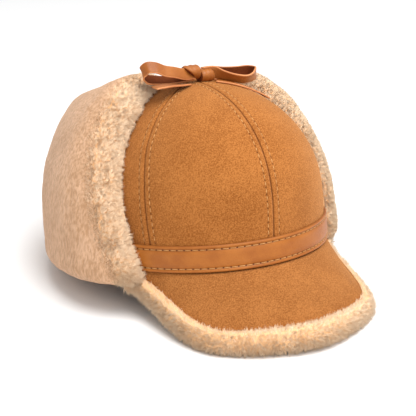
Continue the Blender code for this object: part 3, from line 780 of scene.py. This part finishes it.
def crown_panel(name, middle):
    tip = 1.0 - TIP_RADIUS / CROWN_HALF_LENGTH * (1 - BAND_CLIMB) / (math.pi / 2)
    climbs, lengths = crown_meridian(middle)
    climb = np.interp(np.linspace(0, np.interp(tip, climbs, lengths), PANEL_ROWS), lengths, climbs)
    right_turn, right_metres, right_along = panel_side(middle - PANEL_HALF, -1.0, climb)
    left_turn, left_metres, left_along = panel_side(middle + PANEL_HALF, 1.0, climb)
    share = np.linspace(0, 1, PANEL_MIDDLE_LINES + 2)[1:-1][None, :]
    inner_turn = right_turn[:, -1:] + (left_turn[:, -1:] - right_turn[:, -1:]) * share
    low, high = (seam_turn(middle + half, climb)[:, None] for half in (-PANEL_HALF, PANEL_HALF))
    near = np.minimum(inner_turn - low, high - inner_turn) / degrees_per_metre(middle, climb)[:, None]
    turn = np.concatenate([right_turn, inner_turn, left_turn[:, ::-1]], axis=1)
    from_seam = np.concatenate([right_metres, near, left_metres[:, ::-1]], axis=1)
    columns = turn.shape[1]
    on_left = np.arange(columns) >= columns // 2
    along = np.where(on_left, left_along[:, None], right_along[:, None])
    climb = np.broadcast_to(climb[:, None], turn.shape)
    across = 2 * (turn - low) / (high - low) - 1
    swell = panel_swell(climb) * (1 - across**4)
    outer = off_crown(turn, climb, swell + seam_relief(from_seam, along))
    inner = off_crown(turn, climb, swell - CROWN_WALL + relief(crown_skin(turn, climb), LINING_RELIEF))
    points = np.concatenate([outer.reshape(-1, 3), inner.reshape(-1, 3)])
    polygons = sheet_polygons(*turn.shape)
    which = np.concatenate([np.full(len(group), kind) for kind, group in enumerate(polygons)])
    corners = []
    for group in polygons:
        row, column = group // columns % PANEL_ROWS, group % columns
        left_half = column.mean(axis=1, keepdims=True) > columns // 2
        length = np.where(left_half, left_along[row], right_along[row])
        corners.append(np.stack([from_seam[row, column], length], axis=-1).reshape(-1, 2))
    materials = [CROWN_SUEDE, LINING_WOOL, CUT_EDGE]
    return piece_from(name, points, list(polygons), materials, which, np.concatenate(corners))


def relief(points, kind):
    """Soft bumps and dips at the points, of a kind that gives features to the metre and a height."""
    scale, height = kind
    flat = np.asarray(points).reshape(-1, 3) * scale
    values = np.array([noise.noise(Vector(point)) for point in flat])
    return values.reshape(np.asarray(points).shape[:-1]) * height


# Stitches

# A thread from one needle hole to the next
THREAD_SIDES = 6
THREAD_PROFILE = (
    # place along its length, lift and thickness as shares of its width
    (-0.5, -0.55, 0.3),
    (-0.42, -0.1, 0.8),
    (-0.2, 0.25, 1.0),
    (0.2, 0.25, 1.0),
    (0.42, -0.1, 0.8),
    (0.5, -0.55, 0.3),
)


def stitches(name, rows, length, slot):
    """Short rounded threads, sunk at both ends. Each row gives its threads' middles, ways and outward
    directions."""
    middles, along, outward = (np.concatenate(parts) for parts in zip(*rows))
    along, outward = unit(along), unit(outward)
    side = np.cross(along, outward)
    rings = []
    for place, lift, thick in THREAD_PROFILE:
        centre = middles + along * length * place + outward * STITCH_WIDTH * lift
        for angle in np.arange(THREAD_SIDES) * 2 * math.pi / THREAD_SIDES:
            arm = side * math.cos(angle) + outward * math.sin(angle)
            rings.append(centre + arm * thick * STITCH_WIDTH / 2)
    rings = np.stack(rings, axis=1)
    quads, ends = ring_polygons(len(THREAD_PROFILE), THREAD_SIDES)
    offset = (np.arange(len(middles)) * rings.shape[1])[:, None, None]
    polygons = [(quads[None] + offset).reshape(-1, 4), (ends[None] + offset).reshape(-1, THREAD_SIDES)]
    return place_piece(piece_from(name, rings.reshape(-1, 3), polygons, [THREAD]), slot)


def seam_row(seam, offset):
    """Places, ways and outward directions of the stitches in one row beside a seam."""
    climbs, lengths = crown_meridian(seam)
    first = math.ceil(np.interp(BAND_CLIMB, climbs, lengths) / STITCH_PITCH)
    wanted = np.arange(first, int(lengths[-1] / STITCH_PITCH)) * STITCH_PITCH
    climb = np.interp(wanted, lengths, climbs)
    rate = degrees_per_metre(seam, climb)
    kept = abs(offset) * rate < PANEL_HALF * STITCH_ROOM
    climb, rate = climb[kept], rate[kept]
    turn = seam_turn(seam, climb) + offset * rate
    across = 1 - abs(offset) * rate / PANEL_HALF
    swell = panel_swell(climb) * (1 - across**4)
    stand = swell + seam_relief(np.full(climb.shape, abs(offset)), np.full(climb.shape, STITCH_PITCH / 2))
    way = off_crown(turn, climb + 1e-3, stand) - off_crown(turn, climb - 1e-3, stand)
    return off_crown(turn, climb, stand), way, crown_outward(turn, climb)


def crown_stitches():
    rows = []
    for number in range(PANEL_COUNT):
        for side in (-1, 1):
            rows.append(seam_row(number * 2 * PANEL_HALF, side * STITCH_OFFSET))
    return stitches("crown_topstitching", rows, STITCH_LENGTH, "crown_suede")


# Band

def band_lengths():
    turn = np.linspace(-BAND_TURN, BAND_TURN, 321)
    climb = np.full(turn.shape, climb_at(BAND_HEIGHT / 2))
    line = off_crown(turn, climb, np.full(turn.shape, BAND_THICKNESS))
    steps = np.linalg.norm(np.diff(line, axis=0), axis=1)
    return turn, np.concatenate([[0.0], np.cumsum(steps)])


def band():
    turn, lengths = band_lengths()
    half = smooth(BAND_SECTION, 24)[:, :2] * MM
    heights = np.concatenate([half[:, 0], (BAND_HEIGHT - half[:, 0])[-2::-1]])
    stands = np.concatenate([half[:, 1], half[-2::-1, 1]])
    inset = np.minimum(heights, BAND_HEIGHT - heights)
    turn_grid, climb_grid = np.broadcast_arrays(turn[None, :], climb_at(heights)[:, None])
    row = np.exp(-(((inset - BAND_ROW_INSET) / BAND_PUCKER_WIDTH) ** 2))[:, None]
    pucker = np.cos(2 * np.pi * lengths / BAND_PITCH)[None, :]
    stand = stands[:, None] + row * pucker * BAND_PUCKER
    outer = off_crown(turn_grid, climb_grid, stand)
    inner = off_crown(turn_grid, climb_grid, np.full(turn_grid.shape, GAP))
    points = np.concatenate([outer.reshape(-1, 3), inner.reshape(-1, 3)])
    polygons = sheet_polygons(*turn_grid.shape)
    uv = np.stack(np.broadcast_arrays(lengths[None, :], heights[:, None]), axis=-1).reshape(-1, 2)
    uv = np.tile(uv, (2, 1))
    corners = np.concatenate([uv[group.ravel()] for group in polygons])
    made = piece_from("band_leather_strip", points, list(polygons), [BAND_LEATHER], None, corners)
    return place_piece(made, "band_leather", "band")


def band_stitches():
    turn, lengths = band_lengths()
    at = np.arange(1, int(lengths[-1] / BAND_PITCH)) * BAND_PITCH
    turns = np.interp(at, lengths, turn)
    rows = []
    for z in (BAND_ROW_INSET, BAND_HEIGHT - BAND_ROW_INSET):
        climb = np.full(turns.shape, climb_at(z))
        stand = np.full(turns.shape, BAND_THREAD_STAND)
        way = off_crown(turns + 0.1, climb, stand) - off_crown(turns - 0.1, climb, stand)
        rows.append((off_crown(turns, climb, stand), way, crown_outward(turns, climb)))
    return stitches("band_stitching", rows, BAND_STITCH, "band_leather")


# Peak

def peak_root(side):
    """The board's root under the band, for sides from -1 at its right end to 1 at its left."""
    turn = side * PEAK_ROOT_TURN
    climb = np.full(turn.shape, climb_at(-GAP))
    points = off_crown(turn, climb, np.full(turn.shape, GAP))
    points[..., 2] = -GAP
    return points


def peak_edge(side):
    """The board's outer edge at the same sides."""
    root_y = peak_root(np.array([1.0]))[0, 1]
    front_y = -CROWN_HALF_LENGTH - PEAK_REACH
    half = np.array(PEAK_OUTLINE)
    whole = smooth(np.concatenate([half * (-1, 1, 1), half[-2::-1]]), 401)
    place = (np.asarray(side) + 1) / 2 * (len(whole) - 1)
    across, forward, drop = (
        np.interp(place, np.arange(len(whole)), whole[:, column]) for column in range(3)
    )
    y = root_y + (front_y - root_y) * forward
    return np.stack([PEAK_HALF_WIDTH * across, y, -PEAK_DROP * drop], axis=-1)


def peak_skin(side, reach):
    """The board's upper face, at shares of the way from its root to its edge."""
    side, reach = np.broadcast_arrays(side, reach)
    root, edge = peak_root(side), peak_edge(side)
    points = root + (edge - root) * reach[..., None]
    points[..., 2] += 4 * PEAK_CROWNING * reach * (1 - reach) * (1 - side**2)
    return points


def peak_upward(side, reach):
    step = 5e-3
    side, reach = np.broadcast_arrays(np.asarray(side, float), np.asarray(reach, float))
    inside = np.clip(side, -1 + step, 1 - step)
    near = np.clip(reach, PEAK_LEAST_REACH, 1)
    along = peak_skin(inside + step, near) - peak_skin(inside - step, near)
    outward = peak_skin(inside, near) - peak_skin(inside, near - step)
    return unit(np.cross(outward, along))


def peak_downward(side, reach):
    share = np.clip(np.asarray(reach, float) / PEAK_ROOT_SHARE, 0, 1)[..., None]
    return unit(-share * peak_upward(side, reach) - (1 - share) * np.array((0.0, 0.0, 1.0)))


def peak():
    side = np.linspace(-1.0, 1.0, 161)[None, :]
    reach = np.linspace(0.0, 1.0, 41)[:, None]
    upper = peak_skin(side, reach)
    lower = upper + PEAK_THICKNESS * peak_downward(side, reach)
    points = np.concatenate([upper.reshape(-1, 3), lower.reshape(-1, 3)])
    polygons = sheet_polygons(*upper.shape[:2])
    made = piece_from("peak_board", points, list(polygons), [PEAK_SUEDE])
    return place_piece(made, "peak_suede", "peak")


def trim_ring(side):
    """The section of the peak's wool at one place along the edge: (its pile, its back on the board)."""
    root, edge = peak_root(np.array(side)), peak_edge(np.array(side))
    length = np.linalg.norm(edge - root)
    less = TRIM_TOP_LESS_LEFT if side > 0 else TRIM_TOP_LESS_RIGHT
    top = TRIM_TOP - less * ease(abs(side) / TRIM_TOP_RUN)
    overlap = top * min(TRIM_OVERLAP, 0.5 * length)
    rise = top * TRIM_RISE * min(1.0, TRIM_END_SHARE + (1 - abs(side)) / TRIM_END_RUN)
    upward = peak_upward(side, 1.0)
    step = 5e-3
    low, high = max(side - step, -1.0), min(side + step, 1.0)
    along = unit(peak_edge(np.array(high)) - peak_edge(np.array(low)))
    outward = unit(np.cross(along, upward))

    def on_board(inset, height):
        reach = np.clip(1.0 - inset / length, PEAK_LEAST_REACH, 1.0)
        if height > 0:
            return peak_skin(side, reach) + height * peak_upward(side, reach)
        return peak_skin(side, reach) - height * peak_downward(side, reach)

    below = -PEAK_THICKNESS - GAP
    pile = [on_board(overlap, GAP), on_board(overlap, GAP + TRIM_FOOT_SHARE * rise)]
    pile.append(on_board(TRIM_SHOULDER[0] * overlap, TRIM_SHOULDER[1] * rise))
    centre = edge + upward * (below - TRIM_DEPTH + rise) / 2
    half_height = (rise + TRIM_DEPTH - below) / 2
    for angle in np.radians(np.linspace(90, -90, 13)):
        arm = outward * TRIM_STAND * math.cos(angle) + upward * half_height * math.sin(angle)
        pile.append(centre + arm)
    for inset in UNDER_INSETS:
        depth = below - UNDER_WOOL - (TRIM_DEPTH - UNDER_WOOL) * (1 - inset) ** 2
        pile.append(on_board(inset * length, depth))
    back = [on_board(inset * length, below) for inset in UNDER_BACK_INSETS]
    back.append(edge + upward * below + outward * GAP)
    back.append(edge + upward * GAP + outward * GAP)
    return np.array(pile), np.array(back)


# Wool

def outward_of(skin):
    """Unit normals of a grid of points whose rows are sections, pointing away from their middles."""
    normal = unit(np.cross(np.gradient(skin, axis=0), np.gradient(skin, axis=1)))
    middle = skin.mean(axis=1, keepdims=True)
    if (normal * (skin - middle)).sum() < 0:
        normal = -normal
    return normal


def scatter(skin, share, count, rng):
    """Random places on a grid of points, denser where its share is higher."""
    a, b, c, d = skin[:-1, :-1], skin[1:, :-1], skin[1:, 1:], skin[:-1, 1:]
    area = np.linalg.norm(np.cross(c - a, d - b), axis=-1) / 2
    weight = area * ((share[:-1, :-1] + share[1:, 1:]) / 2) ** LOCK_CROWDING
    total = np.cumsum(weight.ravel())
    at = np.searchsorted(total, (np.arange(count) + rng.random(count)) / count * total[-1])
    row, column = np.unravel_index(np.minimum(at, weight.size - 1), weight.shape)
    return row + rng.random(count), column + rng.random(count), total[-1]


def read(grid, row, column):
    """The grid's values between its lines."""
    i, j = np.floor(row).astype(int), np.floor(column).astype(int)
    u, v = row - i, column - j
    if grid.ndim == 3:
        u, v = u[:, None], v[:, None]
    near = grid[i, j] * (1 - v) + grid[i, j + 1] * v
    far = grid[i + 1, j] * (1 - v) + grid[i + 1, j + 1] * v
    return near * (1 - u) + far * u


def wool_locks(name, skin, share, flow, count, spacing, length, width, seed, slot):
    """Fine tapered locks rooted on a grid of points. They gather in tufts and lean along the flow."""
    rng = np.random.default_rng(seed)
    normals = outward_of(skin)
    row, column, area = scatter(skin, share, count, rng)
    tuft_row, tuft_column, _ = scatter(skin, share, int(area / spacing**2), rng)
    root, normal = read(skin, row, column), unit(read(normals, row, column))
    middle, tuft_normal = read(skin, tuft_row, tuft_column), unit(read(normals, tuft_row, tuft_column))
    fullness = LOCK_SHORTEST + (1 - LOCK_SHORTEST) * read(share, tuft_row, tuft_column)
    way = read(flow, tuft_row, tuft_column)
    wander = rng.normal(size=middle.shape)
    wander -= (wander * tuft_normal).sum(axis=1, keepdims=True) * tuft_normal
    reach = length * fullness * rng.uniform(*LOCK_VARIETY, len(middle))
    rise = unit(tuft_normal + LOCK_LEAN * way + LOCK_WANDER * unit(wander)) * reach[:, None]
    tree = kdtree.KDTree(len(middle))
    for index, point in enumerate(middle):
        tree.insert(Vector(point), index)
    tree.balance()
    tuft = np.array([tree.find(Vector(point))[1] for point in root])
    loose = rng.normal(size=root.shape)
    tip = middle[tuft] + rise[tuft] + (root - middle[tuft]) * LOCK_KEEP + loose * length * LOCK_LOOSE
    axis = unit(tip - root)
    side = unit(np.cross(axis, rng.normal(size=root.shape)))
    third = np.cross(axis, side)
    foot = LOCK_FOOT * width * rng.uniform(*LOCK_VARIETY, len(root))[:, None]
    start = root - normal * LOCK_SINK
    soft = normal + SHADE_RISE * rise[tuft] / length + SHADE_LOOSE * loose
    corners, facing = [], []
    for angle in (0.0, 2 * math.pi / 3, 4 * math.pi / 3):
        arm = side * math.cos(angle) + third * math.sin(angle)
        corners.append(start + foot * arm)
        facing.append(unit(soft + SHADE_ROUND * arm))
    corners.append(tip)
    facing.append(unit(soft))
    points, facing = (np.stack(parts, axis=1).reshape(-1, 3) for parts in (corners, facing))
    triangles = np.array([(2, 1, 0), (0, 1, 3), (1, 2, 3), (2, 0, 3)])
    offset = (np.arange(count) * 4)[:, None, None]
    polygons = [(triangles[None] + offset).reshape(-1, 3)]
    tuft_tone = rng.random(len(middle))[tuft]
    tone = TUFT_TONE * tuft_tone + (1 - TUFT_TONE) * rng.random(count)
    marks = {"tip": np.tile([0.0, 0.0, 0.0, 1.0], count), "tone": np.repeat(tone, 4)}
    return place_piece(piece_from(name, points, polygons, [CURL_WOOL], marks=marks, normals=facing), slot)


def peak_wool():
    sides = np.linspace(-1.0, 1.0, ROLL_SECTIONS)
    sections = [trim_ring(side) for side in sides]
    pile = np.array([smooth(section[0], ROLL_POINTS) for section in sections])
    back = np.array([section[1] for section in sections])
    normals = outward_of(pile)
    along = np.linspace(0, 1, pile.shape[1])
    sink = ROLL_SINK * ease(along / ROLL_SINK_COMES) * fade(along, *ROLL_SINK_GOES)
    base = pile + normals * (relief(pile, PEAK_RELIEF) - sink)[..., None]
    rings = np.concatenate([base, back], axis=1)
    polygons = ring_polygons(*rings.shape[:2])
    made = piece_from("peak_wool_pile", rings.reshape(-1, 3), polygons, [CURL_WOOL])
    place_piece(made, "trim_wool", "peak_wool")
    share = ROLL_THINNEST + (1 - ROLL_THINNEST) * ease(along / ROLL_THICKENS)
    share *= 1 - ROLL_UNDER_LESS * (1 - fade(along, *ROLL_UNDER))
    share = np.broadcast_to(share, pile.shape[:2])
    outward = unit(base - peak_root(sides)[:, None, :])
    flow = outward * (ROLL_FLOW * (along > ROLL_FLOW_START))[None, :, None]
    wool_locks("peak_wool_curls", base, share, flow, slot="trim_wool", **PEAK_LOCKS)


def softened(table, count=240, reach=9):
    """The table read at even steps of its first column, with its corners rounded."""
    table = np.array(table)
    first = np.linspace(table[0, 0], table[-1, 0], count)
    weights = np.hanning(2 * reach + 3)[1:-1]
    columns = [first]
    for column in table.T[1:]:
        values = np.pad(np.interp(first, table[:, 0], column), reach, mode="reflect", reflect_type="odd")
        columns.append(np.convolve(values, weights / weights.sum(), mode="valid"))
    return columns


FLAP_CURVES = softened(FLAP_PROFILE)


def flap_front(climb):
    return np.interp(climb, FLAP_CURVES[0], FLAP_CURVES[1])


def flap_pile(turn, climb):
    """How far the pile stands off the crown."""
    right = np.interp(climb, FLAP_CURVES[0], FLAP_CURVES[2])
    left = np.interp(climb, FLAP_CURVES[0], FLAP_CURVES[3])
    lefts = 0.5 + 0.5 * np.sin(np.radians(turn))
    return FLAP_STAND * (right + (left - right) * lefts)


def flap_section(station):
    """The flap's section at a station from -1, the right front edge, through 0, the back, to 1:
    (points of its lining side, points of its pile, how curly the pile is there)."""
    side = 1.0 if station >= 0 else -1.0
    inward = (1 - abs(station)) ** FLAP_CROWDING
    risen = min(1.0, FLAP_TOP_RUN * abs(station)) ** FLAP_TOP_CURVE
    top = FLAP_BACK_CLIMB + (FLAP_TIP_CLIMB - FLAP_BACK_CLIMB) * risen

    def from_front(climb):
        return (BACK_TURN - flap_front(climb)) * inward

    def turn_at(climb):
        return side * (flap_front(climb) + from_front(climb))

    def front_round(climb):
        inside = np.clip(from_front(climb) / FLAP_FRONT_ROLL, 0, 1)
        return np.sqrt(1 - (1 - inside) ** 2)

    def point(climb, stand):
        climb = np.asarray(climb, float)
        return off_crown(turn_at(climb), climb, np.broadcast_to(stand, climb.shape))

    back = abs(math.sin(math.radians(turn_at(0.0))))
    drop = HEM_BACK_DROP + (HEM_SIDE_DROP - HEM_BACK_DROP) * back**2
    rim, hem = climb_at(-RIM_DEPTH - GAP), climb_at(-RIM_DEPTH - drop)
    round_top = climb_at(-RIM_DEPTH - drop + HEM_ROUND)
    lining = [point(np.linspace(top, climb_at(FLAP_LINING_FOOT), LINING_ROWS), FLAP_CLEARANCE)]
    lining.append(point([rim], FLAP_CLEARANCE * HEM_RIM_SHARE))
    lining.append(point([rim, hem], -HEM_HOOK))
    least = FLAP_CLEARANCE + FLAP_SKIN
    wide = least + (flap_pile(turn_at(round_top), round_top) - least) * front_round(round_top)
    rounds = np.radians(np.linspace(90, HEM_FIRST_ANGLE, HEM_ROWS))
    round_climbs = round_top - (round_top - hem) * np.sin(rounds)
    round_stands = wide * (HEM_EDGE_SHARE + (1 - HEM_EDGE_SHARE) * np.cos(rounds))
    share = np.linspace(0.0, 1.0, FLAP_ROWS) ** FLAP_ROWS_CROWDING
    climbs = round_top + (top - round_top) * share
    over = np.clip((share - 1 + FLAP_TOP_ROLL) / FLAP_TOP_ROLL, 0, 1)
    rounding = np.sqrt(np.maximum(0.0, 1 - over**2)) * front_round(climbs)
    stand = least + (flap_pile(turn_at(climbs), climbs) - least) * rounding
    all_climbs = np.concatenate([[hem], round_climbs, climbs])
    all_stands = np.concatenate([[wide * HEM_UNDER_SHARE], round_stands, stand])
    pile = point(all_climbs, all_stands)
    metres = from_front(all_climbs) / degrees_per_metre(side * 90.0, np.maximum(all_climbs, 0.0))
    all_shares = np.concatenate([np.zeros(HEM_ROWS + 1), share])
    top_edge = ease((all_shares - FLUFF_TOP_START) / FLUFF_TOP_RUN)
    top_edge *= ease((abs(station) - FLUFF_TOP_FRONT) / FLUFF_TOP_FRONT)
    curly = np.maximum(fade(metres, FLUFF_FULL, FLUFF_FADE), FLUFF_TOP * top_edge)
    return np.concatenate(lining), pile, curly


def earflap():
    stations = np.linspace(-1.0, 1.0, FLAP_STATIONS)
    sections = [flap_section(station) for station in stations]
    lining, pile, curly = (np.array(part) for part in zip(*sections))
    rough = relief(pile, FLAP_WAVES) + relief(pile, FLAP_RELIEF) * (FLAP_RELIEF_LEAST + curly)
    base = pile + outward_of(pile) * (rough - curly * FLUFF_SINK)[..., None]
    rings = np.concatenate([lining, base], axis=1)
    quads, ends = ring_polygons(*rings.shape[:2])
    wool = np.concatenate([np.zeros(lining.shape[:2]), curly], axis=1).ravel()
    which = np.concatenate([wool[quads].mean(axis=1) > 0.5, [1, 1]]).astype(int)
    made = piece_from("earflap_pile", rings.reshape(-1, 3), [quads, ends], [SHEARED_WOOL, CURL_WOOL], which)
    place_piece(made, "flap_wool", "earflap")
    flow = unit(np.gradient(base, axis=0)) * np.sign(stations)[:, None, None]
    middle = FLAP_STATIONS // 2
    sides = (("right", slice(0, middle), RIGHT_LOCKS), ("left", slice(middle + 1, None), LEFT_LOCKS))
    for name, part, locks in sides:
        name = "earflap_curls_" + name
        wool_locks(name, base[part], curly[part], flow[part], slot="flap_wool", **FLAP_LOCKS, **locks)


# Bow

def knot_centre():
    apex = BAND_HEIGHT + CROWN_RISE
    return np.array([0.0, -APEX_SHIFT - KNOT_FORWARD, apex + KNOT_HEIGHT / 2 + GAP])


def lace_section():
    """A lace's section, in shares of half its width and of half its thickness."""
    quarter = [(1.0, 0.3), (0.97, 0.8), (0.9, 1.0), (0.5, 0.92), (0.0, 0.88)]
    lower = [(-a, -b) for a, b in quarter] + [(a, -b) for a, b in quarter[-2::-1]]
    return np.array(lower + [(-a, -b) for a, b in lower])


def flat_lace(name, middle, wide, inside):
    """A flat lace. inside, -1 or 1, is the side of its thickness where the leather's inner face is."""
    section = lace_section()
    along = unit(np.gradient(middle, axis=0))
    wide = unit(wide - (wide * along).sum(axis=1, keepdims=True) * along)
    thick = np.cross(wide, along)
    rings = [middle + wide * LACE_WIDTH / 2 * a + thick * LACE_THICKNESS / 2 * b for a, b in section]
    rings = np.stack(rings, axis=1)
    quads, ends = ring_polygons(*rings.shape[:2])
    a, b = section[quads % len(section)].mean(axis=1).T
    which = np.where(np.abs(a) > LACE_CUT, 1, np.where(b * inside > 0, 2, 0))
    which = np.concatenate([which, [1, 1]])
    materials = [LACE_LEATHER, LACE_EDGE, LACE_INSIDE_AND_SHADE]
    return piece_from(name, rings.reshape(-1, 3), [quads, ends], materials, which)
def into_knot(row):
    """Where a lace that leaves the knot at this row of its route runs inside it."""
    return (*(value * share for value, share in zip(row, INTO_KNOT)), *row[3:])


def bow_loop(name, route, node):
    rows = smooth((into_knot(route[0]), *route, into_knot(route[-1])), 110)
    middle = knot_centre() + rows[:, :3] * MM
    along = unit(np.gradient(middle, axis=0))
    upright = unit((0.0, 0.0, 1.0) - along[:, 2:] * along)
    lean = np.radians(rows[:, 3:4])
    wide = upright * np.cos(lean) + np.cross(upright, along) * np.sin(lean)
    inside = math.copysign(1.0, route[0][0])
    return place_piece(flat_lace(name, middle, wide, inside), "lace_leather", node)


def crown_under(x, y):
    """The turn and climb of the crown's point under a place near its top."""
    across = x / CROWN_HALF_WIDTH
    lift, swell = 1.0, 1.0
    for _ in range(12):
        forward = -(y + APEX_SHIFT * lift) / CROWN_HALF_LENGTH
        turn = np.arctan2(across, forward)
        arc = np.arccos(np.clip(np.hypot(across, forward) / swell, 0, 1))
        lift, share = dome(turn, arc)
        swell = share / np.cos(arc)
    return np.degrees(turn), BAND_CLIMB + (1 - BAND_CLIMB) * arc / (math.pi / 2)


def lying_lace(name, route, node):
    rows = smooth(route, 50) * MM
    turn, climb = crown_under(*(knot_centre() + rows)[:, :2].T)
    middle = off_crown(turn, climb, rows[:, 2] + panel_swell(climb))
    along = unit(np.gradient(middle, axis=0))
    wide = np.cross(crown_outward(turn, climb), along)
    return place_piece(flat_lace(name, middle, wide, 1.0), "lace_leather", node)


# The knot's two wraps, in millimetres from the knot's middle: shift and rise of the wrap's own middle,
# how far its right and left borders slant along the knot for each length up, its half height and half
# depth, and its width along the knot
KNOT_WRAPS = (
    # name, shift, rise, slant_right, slant_left, tall, deep, width
    ("bow_knot_wrap_right", -3.7, 1.2, -0.95, 0.05, 5.2, 6.4, 8.6),
    ("bow_knot_wrap_left", 6.2, -2.2, 0.05, -0.25, 4.9, 6.2, 11.4),
)


def knot_wrap(name, shift, rise, slant_right, slant_left, tall, deep, width):
    """A lace drawn tight round the knot, one closed turn with rounded shoulders."""
    turns = np.linspace(0, 2 * math.pi, 48, endpoint=False)
    outer = []
    for share in np.linspace(-1, 1, 17):
        shoulder = max(0.0, 1 - abs(share) ** 4) ** 0.5
        size = WRAP_BORDER + (1 - WRAP_BORDER) * shoulder
        crease = WRAP_CREASE * math.sin(WRAP_CREASES * share * math.pi)
        slant = slant_right + (slant_left - slant_right) * (share + 1) / 2
        y = deep * size * (1 + WRAP_UNEVEN * np.sin(3 * turns + share)) * np.cos(turns)
        z = tall * size * np.sin(turns) + crease
        outer.append(np.stack([shift + share * width / 2 + slant * z, y, z + rise], axis=-1))
    rings = knot_centre() + np.array(outer) * MM
    quads, ends = ring_polygons(*rings.shape[:2])
    ring = quads[:, 0] // rings.shape[1]
    # The wrap's two border bands take the dark inside leather: painted shade where the wrap tucks against
    # its neighbours.
    border = (ring == 0) | (ring == len(rings) - 2)
    which = np.concatenate([border, [1, 1]]).astype(int)
    return piece_from(name, rings.reshape(-1, 3), [quads, ends], [LACE_LEATHER, LACE_INSIDE_AND_SHADE], which)


def bow():
    right_wrap, left_wrap = (knot_wrap(*row) for row in KNOT_WRAPS)
    place_piece(right_wrap, "lace_leather", "bow_knot")
    place_piece(left_wrap, "lace_leather")
    bow_loop("bow_loop_right_lace", LOOP_RIGHT_ROUTE, "bow_loop_right")
    bow_loop("bow_loop_left_lace", LOOP_LEFT_ROUTE, "bow_loop_left")
    lying_lace("bow_tail_right_lace", TAIL_RIGHT_ROUTE, "bow_tail_right")
    lying_lace("bow_tail_left_lace", TAIL_LEFT_ROUTE, "bow_tail_left")
    lying_lace("tie_right_lace", TIE_RIGHT_ROUTE, "tie_right")
    lying_lace("tie_left_lace", TIE_LEFT_ROUTE, "tie_left")


# Camera, light and floor

def camera():
    tilt, azimuth, elevation = (math.radians(v) for v in (VIEW_TILT, VIEW_AZIMUTH, VIEW_ELEVATION))
    ahead = Vector((-math.sin(azimuth), -math.cos(azimuth), 0.0))
    away = ahead * math.cos(elevation) + Vector((0.0, 0.0, math.sin(elevation)))
    right = Vector((math.cos(azimuth), -math.sin(azimuth), 0.0))
    up = away.cross(right)
    untilt = Matrix.Rotation(tilt, 3, "X")
    stand = STANDING.to_3x3()
    place = untilt @ (right * VIEW_ACROSS + up * VIEW_UP + away * VIEW_BACK)
    lens = bpy.data.cameras.new("camera")
    lens.sensor_width = SENSOR
    lens.lens = SENSOR * FOCAL_PIXELS / FRAME_PIXELS
    lens.clip_start = NEAREST
    eye = bpy.data.objects.new("camera", lens)
    bpy.context.scene.collection.objects.link(eye)
    axes = [stand @ (untilt @ axis) for axis in (right, up, away)]
    turned = Matrix(axes).transposed().to_4x4()
    eye.matrix_world = Matrix.Translation(Vector(to_world(np.array([tuple(place)]))[0])) @ turned
    bpy.context.scene.camera = eye


def soft_light(name, place, size, watts):
    light = bpy.data.lights.new(name, "AREA")
    light.size = size
    light.energy = watts
    lamp = bpy.data.objects.new(name, light)
    bpy.context.scene.collection.objects.link(lamp)
    lamp.location = place
    lamp.rotation_euler = (Vector(LIGHTS_AIM) - Vector(place)).to_track_quat("-Z", "Y").to_euler()


def studio():
    material, tree, shader = plain_material("floor", 0.9, Specular_IOR_Level=0.1)
    shade = blend(tree, mottle(tree, 4.0, 2.0), (0.90, 0.90, 0.90, 1.0), (0.92, 0.92, 0.92, 1.0))
    tree.links.new(shade, shader.inputs["Base Color"])
    mesh = bpy.data.meshes.new("floor")
    square = ((-1, -1), (1, -1), (1, 1), (-1, 1))
    mesh.from_pydata([(FLOOR_REACH * x, FLOOR_REACH * y, 0) for x, y in square], [], [(0, 1, 2, 3)])
    mesh.materials.append(material)
    floor = bpy.data.objects.new("floor", mesh)
    bpy.context.scene.collection.objects.link(floor)
    world = bpy.data.worlds.new("studio")
    world.use_nodes = True
    world.node_tree.nodes["Background"].inputs[0].default_value = (1.0, 1.0, 1.0, 1.0)
    world.node_tree.nodes["Background"].inputs[1].default_value = WORLD_LIGHT
    bpy.context.scene.world = world
    for row in LIGHTS:
        soft_light(*row)
    bpy.context.scene.view_settings.view_transform = "Standard"


camera()
studio()
panel_names = ("front_left", "side_left", "back_left", "back_right", "side_right", "front_right")
for number, panel_name in enumerate(panel_names):
    panel = crown_panel("crown_" + panel_name, (2 * number + 1) * PANEL_HALF)
    place_piece(panel, "crown_suede", "crown_panel_" + panel_name)
crown_stitches()
band()
band_stitches()
peak()
peak_wool()
earflap()
bow()
